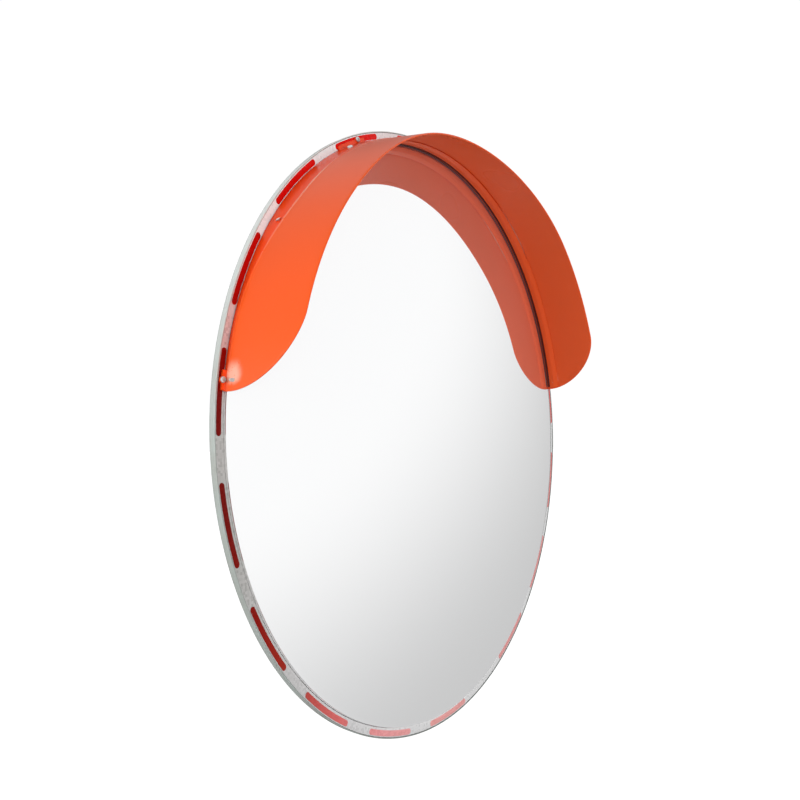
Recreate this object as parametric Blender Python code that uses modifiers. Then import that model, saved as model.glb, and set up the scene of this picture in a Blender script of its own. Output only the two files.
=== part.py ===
"""Traffic convex mirror, 800 mm: domed mirror, hood, back shell and a pole clamp that pans and tilts.

Metres, +Z up, the mirror looks along -Y.  The origin is on the axis of the post, at the middle
height of the clamp.  Three bodies: the clamp, the swivel yoke (pan) and the mirror head (tilt).
"""
import math

import bmesh
import bpy
from mathutils import Matrix, Vector

# ---------------------------------------------------------------- driving dimensions
GAP = 0.0003                 # air kept between pieces that touch
THREAD_FIT = 0.0006          # hole radius over shank radius, also clears the facets

POST_RADIUS = 0.03815        # 76.3 mm steel post
POST_FIT = 0.00035
CLAMP_WALL = 0.005
CLAMP_HEIGHT = 0.090
CLAMP_SLOT = 0.008           # slot between the two clamp halves
CLAMP_EAR_REACH = 0.036      # ear length beyond the rounded part
CLAMP_BOLT_REACH = 0.017     # bolt centre beyond the rounded part
CLAMP_BOLT_RADIUS = 0.005
CLAMP_BOLT_SPACING = 0.050   # vertical distance between the two bolts of one ear
CLAMP_BOLT_TAIL = 0.010      # thread that stands out past the nut

PIVOT_RADIUS = 0.006         # M12 pan and tilt bolts
PIVOT_TAIL = 0.006
PIVOT_NUT_HEIGHT = 0.0102    # locking nut, taller than a plain one
SPACER_WALL = 0.0042
DISC_WALL = 0.0015           # nylon friction discs
DISC_RADIUS = 0.0145
WASHER_WALL = 0.0025
LUG_WALL = 0.006
PAN_LUG_RADIUS = 0.020
PAN_REACH = 0.0265           # pan axis in front of the clamp's outer face
BARREL_RADIUS = 0.016
BARREL_HEIGHT = 0.0378
WEB_WIDTH = 0.016
WEB_STEP = 0.0018            # the web is this much lower than the yoke, above and below
PAN_CLEARANCE = 0.004        # between the end of the pan lugs and the cross plate
YOKE_HEIGHT = 0.036
CHEEK_INNER = 0.024          # half of the space between the two cheeks
CHEEK_REACH = 0.024          # tilt axis in front of the cross plate
CHEEK_INSET = 0.0001         # cheeks thinner than the cross plate is deep, so no faces coincide
TILT_REACH = 0.030           # bracket plate in front of the tilt axis

BRACKET_BOLT_SPACING = 0.100
BRACKET_EDGE = 0.020         # bolt centres to the plate's sides
BRACKET_WALL = 0.005
BRACKET_CORNER = 0.014
BRACKET_BOLT_RADIUS = 0.004
BRACKET_BOLT_TAIL = 0.006
BACKING_EDGE = 0.0153        # stud centres to the backing plate's rim
BACKING_WALL = 0.003

HEX_SIZE = 1.85              # corner radius of a hexagon over the thread's radius
HEX_HEAD_HEIGHT = 1.3        # these four are also over the thread's radius
HEX_NUT_HEIGHT = 1.6
WASHER_SIZE = 2.0
BRACKET_WASHER_SIZE = 2.1

MIRROR_RADIUS = 0.400        # outside of the edge trim
RING_STEPS = 64
DOME_CURVE = 1.050           # radius of the mirror's sphere
RIM_WIDTH = 0.0140           # from the dome's edge to the outside of the trim
DOME_STEP = 0.004            # height of the step at the dome's edge
SHEET = 0.0020               # polycarbonate of the mirror
SHELL_WALL = 0.0022
SHELL_DEPTH = 0.066          # flange face to the flat back of the shell
SHELL_FOOT_INSET = 0.0016    # side wall's foot outside the dome's edge
SHELL_WALL_RUN = 0.012       # the side wall slopes in this far
SHELL_WALL_DROP = 0.016
SHELL_SHOULDER_RUN = 0.048   # then the shoulder
SHELL_SHOULDER_DROP = 0.010
SHELL_CONE_RADIUS = 0.200    # the cone's ring, at its share of the depth
SHELL_CONE_SHARE = 0.78
SHELL_BOSS_EDGE = 0.0102     # flat back beyond the bracket's corners
SHELL_BOSS_RUN = 0.012
SHELL_BOSS_SHARE = 0.87
SHELL_DRAFT = 0.0015         # inner face's rings stand in from the outer face's
DRAIN_RADIUS = 0.004
DRAIN_INSET = 0.010          # drain hole inside the shoulder's end
GASKET_WALL = 0.0010
GASKET_WIDTH = 0.0065
TRIM_WALL = 0.0018
TRIM_LIP = 0.0010
TRIM_LIP_WIDTH = 0.0028
FILM_WALL = 0.0004
BAR_COUNT = 17
BAR_RISE = 0.0003
BAR_MARGIN = 0.0014          # film left plain on either side of a bar
BAR_SPAN = math.radians(13.6)
BAR_PITCH = math.radians(20.65)   # the strip's ends meet at the lower right, in a wider space
BAR_MIDDLE = math.radians(-19.8)  # bar halfway along the strip

HOOD_CLEARANCE = 0.0003      # hood's inside to the top of the dome's step
HOOD_TAPER = math.radians(3.9)
HOOD_WALL = 0.0022
HOOD_TOP_REACH = 0.082
HOOD_SIDE_REACH = 0.0945
HOOD_SIDE_ANGLE = math.radians(45)
HOOD_END_ANGLE = math.radians(81.7)
HOOD_CORNER_ANGLE = math.radians(11)
HOOD_CORNER_START = 0.010
HOOD_ROWS = (0.0, 0.10, 0.25, 0.45, 0.70, 1.0)   # shares of the reach
HOOD_CORNER_STEPS = 8
HOOD_TOP_STEPS = 36
TAB_WALL = 0.0020
TAB_PLACES = (math.radians(22.0), math.radians(80.0))
TAB_SPANS = (math.radians(8.4), math.radians(3.2))
ROOT_STRIP_WALL = 0.0020
ROOT_STRIP_WIDTH = 0.0140
SEAL_WALL = 0.0026
SEAL_WIDTH = 0.0030
SEAL_LIFT = 0.0016           # seal above the dome's step
LINING_INSET = math.radians(0.6)   # seal and strip end short of the hood
SMALL_SCREW_RADIUS = 0.0020
SMALL_HEAD_RADIUS = 0.0036
SMALL_HEAD_HEIGHT = 0.0022
SMALL_SCREW_TAIL = 0.0012     # screw point past what it holds
HOOD_SCREW_REACH = 0.0135
HOOD_SCREW_PLACES = (math.radians(25.0), math.radians(51.0), math.radians(80.0))
RIM_SCREW_PLACES = (math.radians(20.0), math.radians(80.0))
SCREW_HOLE_DEPTH = 0.010     # cutters for the screw holes, longer than what they cross
RIM_HOLE_DEPTH = 0.040

# ---------------------------------------------------------------- what follows from them
BORE_RADIUS = POST_RADIUS + POST_FIT
CLAMP_RADIUS = BORE_RADIUS + CLAMP_WALL
EAR_END = CLAMP_RADIUS + CLAMP_EAR_REACH
CLAMP_BOLT_X = CLAMP_RADIUS + CLAMP_BOLT_REACH
PAN_Y = -(CLAMP_RADIUS + PAN_REACH)
PAN_LUG_FACE = BARREL_HEIGHT / 2 + 2 * GAP + DISC_WALL
YOKE_BACK = PAN_Y - PAN_LUG_RADIUS - PAN_CLEARANCE
YOKE_FRONT = YOKE_BACK - LUG_WALL
TILT_Y = YOKE_FRONT - CHEEK_REACH
CHEEK_RADIUS = YOKE_HEIGHT / 2
TILT_LUG_OUTER = CHEEK_INNER - 2 * GAP - DISC_WALL
TILT_LUG_INNER = TILT_LUG_OUTER - LUG_WALL
BRACKET_SIDE = BRACKET_BOLT_SPACING + 2 * BRACKET_EDGE
BACKING_RADIUS = BRACKET_BOLT_SPACING / math.sqrt(2) + BACKING_EDGE
PLATE_BACK = TILT_Y - TILT_REACH
PLATE_FRONT = PLATE_BACK - BRACKET_WALL
FLANGE_Y = PLATE_FRONT - GAP - SHELL_DEPTH

DOME_RADIUS = MIRROR_RADIUS - RIM_WIDTH
HOOD_FACET = math.cos((HOOD_END_ANGLE - HOOD_CORNER_ANGLE) / HOOD_TOP_STEPS)
HOOD_RADIUS = (DOME_RADIUS / HOOD_FACET + DOME_STEP * math.tan(HOOD_TAPER) + HOOD_CLEARANCE
               + HOOD_WALL / math.cos(HOOD_TAPER))
TRIM_INNER = MIRROR_RADIUS - TRIM_WALL
FLANGE_RADIUS = TRIM_INNER - GAP
GASKET_TOP = -SHEET - GAP
GASKET_BOTTOM = GASKET_TOP - GASKET_WALL
SHELL_TOP = GASKET_BOTTOM - GAP
SHELL_BOTTOM = SHELL_TOP - SHELL_WALL
FILM_OUTER = MIRROR_RADIUS - TRIM_LIP_WIDTH - GAP
FILM_INNER = DOME_RADIUS + 2 * GAP
FILM_TOP = GAP + FILM_WALL
BAR_RADIUS = (FILM_OUTER + FILM_INNER) / 2
BAR_WIDTH = FILM_OUTER - FILM_INNER - 2 * BAR_MARGIN
BAR_TOP = FILM_TOP + BAR_RISE
TAB_BOTTOM = BAR_TOP + GAP
TAB_TOP = TAB_BOTTOM + TAB_WALL
RIM_SCREW_RADIUS = HOOD_RADIUS + SMALL_HEAD_RADIUS + GAP
DOME_APEX = DOME_STEP + DOME_CURVE - math.sqrt(DOME_CURVE ** 2 - DOME_RADIUS ** 2)

# ---------------------------------------------------------------- scene
for old in list(bpy.data.objects):
    bpy.data.objects.remove(old, do_unlink=True)

parts = bpy.data.collections.new("traffic_convex_mirror")
cutters = bpy.data.collections.new("cutters")
bpy.context.scene.collection.children.link(parts)
bpy.context.scene.collection.children.link(cutters)


def finish(name, colour, roughness, metallic):
    """A Principled material for one kind of surface."""
    material = bpy.data.materials.new(name)
    material.use_nodes = True
    shader = material.node_tree.nodes["Principled BSDF"]
    shader.inputs["Base Color"].default_value = (*colour, 1.0)
    shader.inputs["Roughness"].default_value = roughness
    shader.inputs["Metallic"].default_value = metallic
    return material


MIRRORED = finish("mirrored_polycarbonate", (0.90, 0.91, 0.92), 0.03, 1.0)
ORANGE = finish("orange_plastic", (0.95, 0.14, 0.03), 0.25, 0.0)
SILVER_FILM = finish("silver_reflective_film", (0.75, 0.77, 0.76), 0.30, 0.6)
GREY_TRIM = finish("grey_edge_trim", (0.55, 0.59, 0.56), 0.35, 0.4)
RUBBER = finish("black_rubber", (0.02, 0.02, 0.02), 0.80, 0.0)
GALVANISED = finish("galvanised_steel", (0.55, 0.57, 0.58), 0.45, 0.9)
ZINC = finish("zinc_plated_steel", (0.68, 0.69, 0.70), 0.30, 1.0)
NYLON = finish("white_nylon", (0.80, 0.80, 0.77), 0.50, 0.0)


def empty(name, where, parent=None):
    """An axis marker that carries the pieces which turn about it."""
    marker = bpy.data.objects.new(name, None)
    marker.empty_display_size = 0.05
    parts.objects.link(marker)
    marker.parent = parent
    marker.location = Vector(where) - (Vector(parent["world"]) if parent else Vector())
    marker["world"] = where
    return marker


POST = empty("post_axis", (0.0, 0.0, 0.0))
PAN = empty("pan_axis", (0.0, PAN_Y, 0.0), POST)
TILT = empty("tilt_axis", (0.0, TILT_Y, 0.0), PAN)

ALONG_X = (0.0, math.pi / 2, 0.0)
ALONG_FRONT = (math.pi / 2, 0.0, 0.0)       # local Z points forward, to -Y
UPRIGHT_SIDE = (math.pi / 2, 0.0, math.pi / 2)   # local X, Y, Z to world Y, Z, X


def place(name, mesh, where, turn=(0.0, 0.0, 0.0), carrier=POST):
    """Put a mesh into the parts, at a place in the world, under the marker that carries it."""
    body = bpy.data.objects.new(name, mesh)
    parts.objects.link(body)
    body.parent = carrier
    body.location = Vector(where) - Vector(carrier["world"])
    body.rotation_euler = turn
    return body


def paint(body, material):
    """Give a piece its one material and smooth its round sides."""
    body.data.materials.clear()
    body.data.materials.append(material)
    body.data.shade_smooth()
    body.data.set_sharp_from_angle(angle=math.radians(30))
    return body


def helper(body):
    """Move an object to the cutters, where it only shapes other pieces."""
    parts.objects.unlink(body)
    cutters.objects.link(body)
    body.hide_render = True
    body.display_type = "WIRE"
    return body


def boolean(body, tool, operation):
    """Cut a tool from a piece, or join it on."""
    modifier = body.modifiers.new(operation.lower(), "BOOLEAN")
    modifier.operation = operation
    modifier.object = tool
    modifier.solver = "EXACT"
    return body


def cut(body, tools):
    """Cut several tools from a piece."""
    for tool in tools:
        boolean(body, helper(tool), "DIFFERENCE")
    return body


def join(body, others):
    """Weld several shapes onto a piece."""
    for other in others:
        boolean(body, helper(other), "UNION")
    return body


def mesh_from(bm, name):
    """Turn a bmesh into a mesh."""
    mesh = bpy.data.meshes.new(name)
    bm.to_mesh(mesh)
    bm.free()
    return mesh


def cylinder_mesh(name, radius, length, sides):
    """A closed cylinder along Z, centred on its origin."""
    bm = bmesh.new()
    bmesh.ops.create_cone(bm, cap_ends=True, segments=sides, radius1=radius, radius2=radius, depth=length)
    return mesh_from(bm, name)


def box_mesh(name, size):
    """A closed box centred on its origin."""
    bm = bmesh.new()
    bmesh.ops.create_cube(bm, size=1.0, matrix=Matrix.Diagonal((*size, 1.0)))
    return mesh_from(bm, name)


def plate_mesh(name, outline, thickness):
    """A flat plate: an outline in XY, filled and given a thickness about Z = 0."""
    curve = bpy.data.curves.new(name, "CURVE")
    curve.dimensions = "2D"
    curve.fill_mode = "BOTH"
    curve.extrude = thickness / 2
    spline = curve.splines.new("POLY")
    spline.points.add(len(outline) - 1)
    for point, (x, y) in zip(spline.points, outline):
        point.co = (x, y, 0.0, 1.0)
    spline.use_cyclic_u = True
    drawn = bpy.data.objects.new(name, curve)
    cutters.objects.link(drawn)
    evaluated = drawn.evaluated_get(bpy.context.evaluated_depsgraph_get())
    mesh = bpy.data.meshes.new_from_object(evaluated)
    bpy.data.objects.remove(drawn, do_unlink=True)
    bm = bmesh.new()
    bm.from_mesh(mesh)
    bmesh.ops.remove_doubles(bm, verts=bm.verts, dist=0.00001)
    bmesh.ops.recalc_face_normals(bm, faces=bm.faces)
    bm.to_mesh(mesh)
    bm.free()
    return mesh


def arc(centre, radius, start, end, steps):
    """Points along an arc, both ends included."""
    points = []
    for step in range(steps + 1):
        angle = start + (end - start) * step / steps
        points.append((centre[0] + radius * math.cos(angle), centre[1] + radius * math.sin(angle)))
    return points


def tongue_outline(length, radius):
    """A strap that ends in a half circle about the origin and reaches back along -X."""
    return arc((0.0, 0.0), radius, -math.pi / 2, math.pi / 2, 10) + [(-length, radius), (-length, -radius)]


def rounded_square(side, corner):
    """A square with rounded corners, centred on the origin."""
    half = side / 2 - corner
    points = []
    for quarter, (x, y) in enumerate(((half, half), (-half, half), (-half, -half), (half, -half))):
        start = quarter * math.pi / 2
        points += arc((x, y), corner, start, start + math.pi / 2, 4)
    return points


def turned(name, profile, where, carrier, closed=True, steps=RING_STEPS, turn=ALONG_FRONT):
    """A turned piece: a profile of (radius, height) swept once round by a Screw modifier."""
    bm = bmesh.new()
    points = [bm.verts.new((radius, 0.0, height)) for radius, height in profile]
    for first, second in zip(points, points[1:]):
        bm.edges.new((first, second))
    if closed:
        bm.edges.new((points[-1], points[0]))
    body = place(name, mesh_from(bm, name), where, turn, carrier)
    screw = body.modifiers.new("turn", "SCREW")
    screw.axis = "Z"
    screw.steps = steps
    screw.render_steps = steps
    screw.use_merge_vertices = True
    screw.merge_threshold = 0.00005
    screw.use_smooth_shade = True
    return body


def bent_sheet(name, angles, reaches, radius_at, wall):
    """A sheet bent about the mirror's axis: a grid on (angle, reach), thickened inwards.

    reaches(angle) gives the reaches of the rows, radius_at(reach) the outer radius there.
    """
    rows = len(reaches(angles[0]))
    bpy.ops.mesh.primitive_grid_add(x_subdivisions=rows - 1, y_subdivisions=len(angles) - 1, size=1.0)
    grid = bpy.context.active_object
    mesh = grid.data
    for vertex in mesh.vertices:
        row = round((vertex.co.x + 0.5) * (rows - 1))
        column = round((vertex.co.y + 0.5) * (len(angles) - 1))
        angle = angles[column]
        reach = reaches(angle)[row]
        radius = radius_at(reach)
        vertex.co = (radius * math.sin(angle), radius * math.cos(angle), reach)
    mesh.name = name
    bpy.data.objects.remove(grid, do_unlink=True)
    bm = bmesh.new()
    bm.from_mesh(mesh)
    bmesh.ops.recalc_face_normals(bm, faces=bm.faces)
    face = bm.faces[:][0]
    centre = face.calc_center_median()
    if face.normal.dot(Vector((centre.x, centre.y, 0.0))) < 0:
        bmesh.ops.reverse_faces(bm, faces=bm.faces)
    bm.to_mesh(mesh)
    bm.free()
    body = place(name, mesh, (0.0, FLANGE_Y, 0.0), ALONG_FRONT, TILT)
    solid = body.modifiers.new("wall", "SOLIDIFY")
    solid.thickness = wall
    solid.offset = -1.0
    solid.use_even_offset = True
    return body


def fit(name, mesh, matrix, material, carrier=POST):
    """One small piece, put in the world by a matrix."""
    body = place(name, mesh, matrix.to_translation(), matrix.to_euler(), carrier)
    return paint(body, material)


def fit_row(name, mesh, matrices, material, carrier=POST):
    """The same small piece at each matrix, as numbered pieces that share a mesh."""
    for number, matrix in enumerate(matrices, start=1):
        fit(f"{name}_{number}", mesh, matrix, material, carrier)


def baked(body):
    """The finished mesh of a piece, where it stands; the piece and its tools are removed."""
    bpy.context.view_layer.update()
    evaluated = body.evaluated_get(bpy.context.evaluated_depsgraph_get())
    mesh = bpy.data.meshes.new_from_object(evaluated)
    mesh.transform(body.matrix_world)
    for modifier in body.modifiers:
        if modifier.type == "BOOLEAN":
            bpy.data.objects.remove(modifier.object, do_unlink=True)
    bpy.data.objects.remove(body, do_unlink=True)
    return mesh


def hex_bolt_mesh(radius, grip):
    """A hexagon bolt: the underside of its head at Z = 0, the shank down to -grip."""
    head = radius * HEX_HEAD_HEIGHT
    bolt = place("bolt", cylinder_mesh("bolt", radius * HEX_SIZE, head, 6), (0.0, 0.0, head / 2))
    shank = place("shank", cylinder_mesh("shank", radius, grip + head / 2, 12), (0.0, 0.0, (head / 2 - grip) / 2))
    return baked(join(bolt, [shank]))


def ring_mesh(outer, inner, thickness, sides=16):
    """A washer or hexagon nut: a flat ring from Z = 0 to its thickness."""
    ring = place("ring", cylinder_mesh("ring", outer, thickness, sides), (0.0, 0.0, thickness / 2))
    hole = place("hole", cylinder_mesh("hole", inner, thickness * 2, 12), (0.0, 0.0, thickness / 2))
    return baked(cut(ring, [hole]))


def round_screw_mesh(grip):
    """A pan head screw: the underside of its head at Z = 0, the shank down to -grip."""
    profile = [(0.0, SMALL_HEAD_HEIGHT), (SMALL_HEAD_RADIUS * 0.65, SMALL_HEAD_HEIGHT * 0.85),
               (SMALL_HEAD_RADIUS, SMALL_HEAD_HEIGHT * 0.3), (SMALL_HEAD_RADIUS, 0.0),
               (SMALL_SCREW_RADIUS, 0.0), (SMALL_SCREW_RADIUS, -grip), (0.0, -grip)]
    screw = turned("screw", profile, (0.0, 0.0, 0.0), POST, closed=False, steps=12, turn=(0.0, 0.0, 0.0))
    return baked(screw)


def flange_point(angle, radius):
    """A place on the flange face, by its angle from the top towards +X."""
    return Vector((radius * math.sin(angle), FLANGE_Y, radius * math.cos(angle)))


def both_sides(angles):
    """The same angles left and right of the top."""
    return [side * angle for angle in angles for side in (-1, 1)]


def hole_at(name, centre, turn, radius, length, carrier, sides=12):
    """A round cutter through a point."""
    return place(name, cylinder_mesh(name, radius, length, sides), centre, turn, carrier)


# ---------------------------------------------------------------- post clamp
def clamp_half_outline(side):
    """Half hoop with two flat ears, drawn in XY; side is -1 for the front half, 1 for the rear."""
    slot = CLAMP_SLOT / 2
    inner_start = math.asin(slot / BORE_RADIUS)
    outer_y = slot + CLAMP_WALL
    outer_start = math.asin(outer_y / CLAMP_RADIUS)
    inner = arc((0.0, 0.0), BORE_RADIUS, inner_start, math.pi - inner_start, 20)
    outer = arc((0.0, 0.0), CLAMP_RADIUS, math.pi - outer_start, outer_start, 20)
    points = [(EAR_END, slot)] + inner + [(-EAR_END, slot), (-EAR_END, outer_y)] + outer + [(EAR_END, outer_y)]
    return [(x, side * y) for x, y in points]


def clamp_bolt_places():
    """Centres of the four clamp bolts in XZ."""
    half = CLAMP_BOLT_SPACING / 2
    return [(x, z) for x in (-CLAMP_BOLT_X, CLAMP_BOLT_X) for z in (-half, half)]


def clamp_half(name, side):
    """One clamp half with its bolt holes."""
    half = place(name, plate_mesh(name, clamp_half_outline(side), CLAMP_HEIGHT), (0.0, 0.0, 0.0))
    holes = []
    for number, (x, z) in enumerate(clamp_bolt_places()):
        middle = side * (CLAMP_SLOT + CLAMP_WALL) / 2
        holes.append(hole_at(f"{name}_hole_{number}", (x, middle, z), ALONG_FRONT,
                             CLAMP_BOLT_RADIUS + THREAD_FIT, CLAMP_WALL * 3, POST))
    return cut(half, holes)


def post_clamp():
    """Front saddle with the two pan lugs, rear strap, bolts, washers and nuts."""
    saddle = clamp_half("pole_saddle", -1)
    lug_length = -PAN_Y - CLAMP_RADIUS + CLAMP_WALL / 2
    for side in (-1, 1):
        outline = [(y, x) for x, y in tongue_outline(lug_length, PAN_LUG_RADIUS)]
        outline = [(x, -y) for x, y in outline]
        lug = place(f"pan_lug_{side}", plate_mesh("pan_lug", outline, LUG_WALL),
                    (0.0, PAN_Y, side * (PAN_LUG_FACE + LUG_WALL / 2)))
        join(saddle, [lug])
    pin_hole = hole_at("pan_hole", (0.0, PAN_Y, 0.0), (0.0, 0.0, 0.0), PIVOT_RADIUS + THREAD_FIT,
                       PAN_LUG_FACE * 2 + LUG_WALL * 4, POST)
    paint(cut(saddle, [pin_hole]), GALVANISED)
    paint(clamp_half("pole_strap", 1), GALVANISED)

    ear_face = CLAMP_SLOT / 2 + CLAMP_WALL
    hole = CLAMP_BOLT_RADIUS + THREAD_FIT
    washer = ring_mesh(CLAMP_BOLT_RADIUS * WASHER_SIZE, hole, WASHER_WALL)
    nut_height = CLAMP_BOLT_RADIUS * HEX_NUT_HEIGHT
    nut = ring_mesh(CLAMP_BOLT_RADIUS * HEX_SIZE, hole, nut_height, sides=6)
    head_face = ear_face + GAP
    nut_face = head_face + WASHER_WALL + GAP
    bolt = hex_bolt_mesh(CLAMP_BOLT_RADIUS, head_face + nut_face + nut_height + CLAMP_BOLT_TAIL)
    forward = Matrix.Rotation(math.pi / 2, 4, "X")
    backward = Matrix.Rotation(-math.pi / 2, 4, "X")

    def row(y, turn):
        return [Matrix.Translation((x, y, z)) @ turn for x, z in clamp_bolt_places()]

    fit_row("clamp_bolt", bolt, row(-head_face, forward), ZINC)
    fit_row("clamp_washer", washer, row(head_face, backward), ZINC)
    fit_row("clamp_nut", nut, row(nut_face, backward), ZINC)


# ---------------------------------------------------------------- pivots
def pivot_stack(prefix, axis, outer_face, disc_face, carrier):
    """Bolt, nut, two washers and two nylon discs of a pivot.

    axis puts local Z along the pivot, outer_face is the outside of its outer plates and
    disc_face the side of the moving part that the discs rub on, both from the middle.
    """
    over = Matrix.Rotation(math.pi, 4, "X")
    seat = outer_face + GAP + WASHER_WALL + GAP
    hole = PIVOT_RADIUS + THREAD_FIT
    bolt = hex_bolt_mesh(PIVOT_RADIUS, 2 * seat + PIVOT_NUT_HEIGHT + PIVOT_TAIL)
    nut = ring_mesh(PIVOT_RADIUS * HEX_SIZE, hole, PIVOT_NUT_HEIGHT, sides=6)
    washer = ring_mesh(PIVOT_RADIUS * WASHER_SIZE, hole, WASHER_WALL)
    disc = ring_mesh(DISC_RADIUS, hole, DISC_WALL)
    fit(f"{prefix}_bolt", bolt, axis @ Matrix.Translation((0.0, 0.0, seat)), ZINC, carrier)
    fit(f"{prefix}_nut", nut, axis @ over @ Matrix.Translation((0.0, 0.0, seat)), ZINC, carrier)
    washer_seat = Matrix.Translation((0.0, 0.0, outer_face + GAP))
    fit_row(f"{prefix}_washer", washer, [axis @ washer_seat, axis @ over @ washer_seat], ZINC, carrier)
    disc_seat = Matrix.Translation((0.0, 0.0, disc_face + GAP))
    fit_row(f"{prefix}_disc", disc, [axis @ disc_seat, axis @ over @ disc_seat], NYLON, carrier)


def pivots():
    """The fasteners of the pan and tilt axes, and the tube between the tilt lugs."""
    upright = Matrix.Translation((0.0, PAN_Y, 0.0))
    sideways = Matrix.Translation((0.0, TILT_Y, 0.0)) @ Matrix.Rotation(math.pi / 2, 4, "Y")
    pivot_stack("pan", upright, PAN_LUG_FACE + LUG_WALL, BARREL_HEIGHT / 2, POST)
    pivot_stack("tilt", sideways, CHEEK_INNER + LUG_WALL, TILT_LUG_OUTER, PAN)
    length = 2 * (TILT_LUG_INNER - GAP)
    spacer = ring_mesh(PIVOT_RADIUS + SPACER_WALL, PIVOT_RADIUS + THREAD_FIT, length)
    fit("tilt_spacer", spacer, sideways @ Matrix.Translation((0.0, 0.0, -length / 2)), ZINC, PAN)


# ---------------------------------------------------------------- swivel yoke
def swivel_yoke():
    """Barrel on the pan bolt, a web, a cross plate and the two cheeks of the tilt pivot."""
    yoke = place("swivel_yoke", cylinder_mesh("barrel", BARREL_RADIUS, BARREL_HEIGHT, 24),
                 (0.0, PAN_Y, 0.0), carrier=PAN)
    web_back = PAN_Y - BARREL_RADIUS / 2
    web_front = YOKE_BACK - LUG_WALL / 2
    web = place("yoke_web", box_mesh("web", (WEB_WIDTH, web_back - web_front, YOKE_HEIGHT - 2 * WEB_STEP)),
                (0.0, (web_back + web_front) / 2, 0.0), carrier=PAN)
    cross_width = 2 * (CHEEK_INNER + LUG_WALL)
    cross = place("yoke_cross", box_mesh("cross", (cross_width, LUG_WALL, YOKE_HEIGHT)),
                  (0.0, (YOKE_BACK + YOKE_FRONT) / 2, 0.0), carrier=PAN)
    join(yoke, [web, cross])
    for side in (-1, 1):
        outline = [(-y, z) for y, z in tongue_outline(CHEEK_REACH + LUG_WALL / 2, CHEEK_RADIUS)]
        cheek = place(f"cheek_{side}", plate_mesh("cheek", outline, LUG_WALL - CHEEK_INSET),
                      (side * (CHEEK_INNER + LUG_WALL / 2), TILT_Y, 0.0), UPRIGHT_SIDE, PAN)
        join(yoke, [cheek])
    pan_hole = hole_at("barrel_hole", (0.0, PAN_Y, 0.0), (0.0, 0.0, 0.0), PIVOT_RADIUS + THREAD_FIT,
                       BARREL_HEIGHT * 2, PAN, sides=16)
    tilt_hole = hole_at("cheek_hole", (0.0, TILT_Y, 0.0), ALONG_X, PIVOT_RADIUS + THREAD_FIT,
                        cross_width * 2, PAN, sides=16)
    paint(cut(yoke, [pan_hole, tilt_hole]), GALVANISED)


# ---------------------------------------------------------------- bracket behind the shell
def bracket_bolt_places():
    """Centres of the four bracket bolts in XZ."""
    half = BRACKET_BOLT_SPACING / 2
    return [(x, z) for x in (-half, half) for z in (-half, half)]


def bracket_holes(name, y, length):
    """Cutters for the four bracket bolts through a plate at y."""
    holes = []
    for number, (x, z) in enumerate(bracket_bolt_places()):
        holes.append(hole_at(f"{name}_{number}", (x, y, z), ALONG_FRONT,
                             BRACKET_BOLT_RADIUS + THREAD_FIT, length, TILT))
    return holes


def tilt_bracket():
    """Square plate on the shell's back with two lugs for the tilt bolt, its bolts and washers."""
    middle = (PLATE_BACK + PLATE_FRONT) / 2
    plate = place("tilt_bracket", plate_mesh("plate", rounded_square(BRACKET_SIDE, BRACKET_CORNER), BRACKET_WALL),
                  (0.0, middle, 0.0), ALONG_FRONT, TILT)
    for side in (-1, 1):
        outline = tongue_outline(TILT_REACH + BRACKET_WALL / 2, CHEEK_RADIUS)
        lug = place(f"tilt_lug_{side}", plate_mesh("tilt_lug", outline, LUG_WALL),
                    (side * (TILT_LUG_INNER + TILT_LUG_OUTER) / 2, TILT_Y, 0.0), UPRIGHT_SIDE, TILT)
        join(plate, [lug])
    pin_hole = hole_at("lug_hole", (0.0, TILT_Y, 0.0), ALONG_X, PIVOT_RADIUS + THREAD_FIT,
                       CHEEK_INNER * 4, TILT, sides=16)
    paint(cut(plate, [pin_hole] + bracket_holes("bracket_hole", middle, BRACKET_WALL * 3)), GALVANISED)

    washer_face = PLATE_BACK + GAP
    nut_face = washer_face + WASHER_WALL + GAP
    nut_height = BRACKET_BOLT_RADIUS * HEX_NUT_HEIGHT
    backing_plate(nut_face + nut_height + BRACKET_BOLT_TAIL)
    hole = BRACKET_BOLT_RADIUS + THREAD_FIT
    washer = ring_mesh(BRACKET_BOLT_RADIUS * BRACKET_WASHER_SIZE, hole, WASHER_WALL)
    nut = ring_mesh(BRACKET_BOLT_RADIUS * HEX_SIZE, hole, nut_height, sides=6)
    backward = Matrix.Rotation(-math.pi / 2, 4, "X")

    def row(y):
        return [Matrix.Translation((x, y, z)) @ backward for x, z in bracket_bolt_places()]

    fit_row("bracket_washer", washer, row(washer_face), ZINC, TILT)
    fit_row("bracket_nut", nut, row(nut_face), ZINC, TILT)


def backing_plate(stud_end):
    """Round steel plate inside the shell, with four welded studs that reach back to stud_end."""
    back = FLANGE_Y + SHELL_DEPTH - SHELL_WALL - GAP
    front = back - BACKING_WALL
    disc = place("backing_plate", cylinder_mesh("backing_plate", BACKING_RADIUS, BACKING_WALL, 40),
                 (0.0, (back + front) / 2, 0.0), ALONG_FRONT, TILT)
    weld = BACKING_WALL / 2
    length = stud_end - back + weld
    for number, (x, z) in enumerate(bracket_bolt_places()):
        stud = place(f"stud_{number}", cylinder_mesh("stud", BRACKET_BOLT_RADIUS, length, 12),
                     (x, stud_end - length / 2, z), ALONG_FRONT, TILT)
        join(disc, [stud])
    paint(disc, GALVANISED)


# ---------------------------------------------------------------- mirror head
HEAD = (0.0, FLANGE_Y, 0.0)


def rim_holes(name):
    """Cutters for the screws that hold the hood's tabs to the rim."""
    holes = []
    for number, angle in enumerate(both_sides(RIM_SCREW_PLACES)):
        holes.append(hole_at(f"{name}_{number}", flange_point(angle, RIM_SCREW_RADIUS), ALONG_FRONT,
                             SMALL_SCREW_RADIUS + THREAD_FIT / 2, RIM_HOLE_DEPTH, TILT, sides=8))
    return holes


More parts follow.
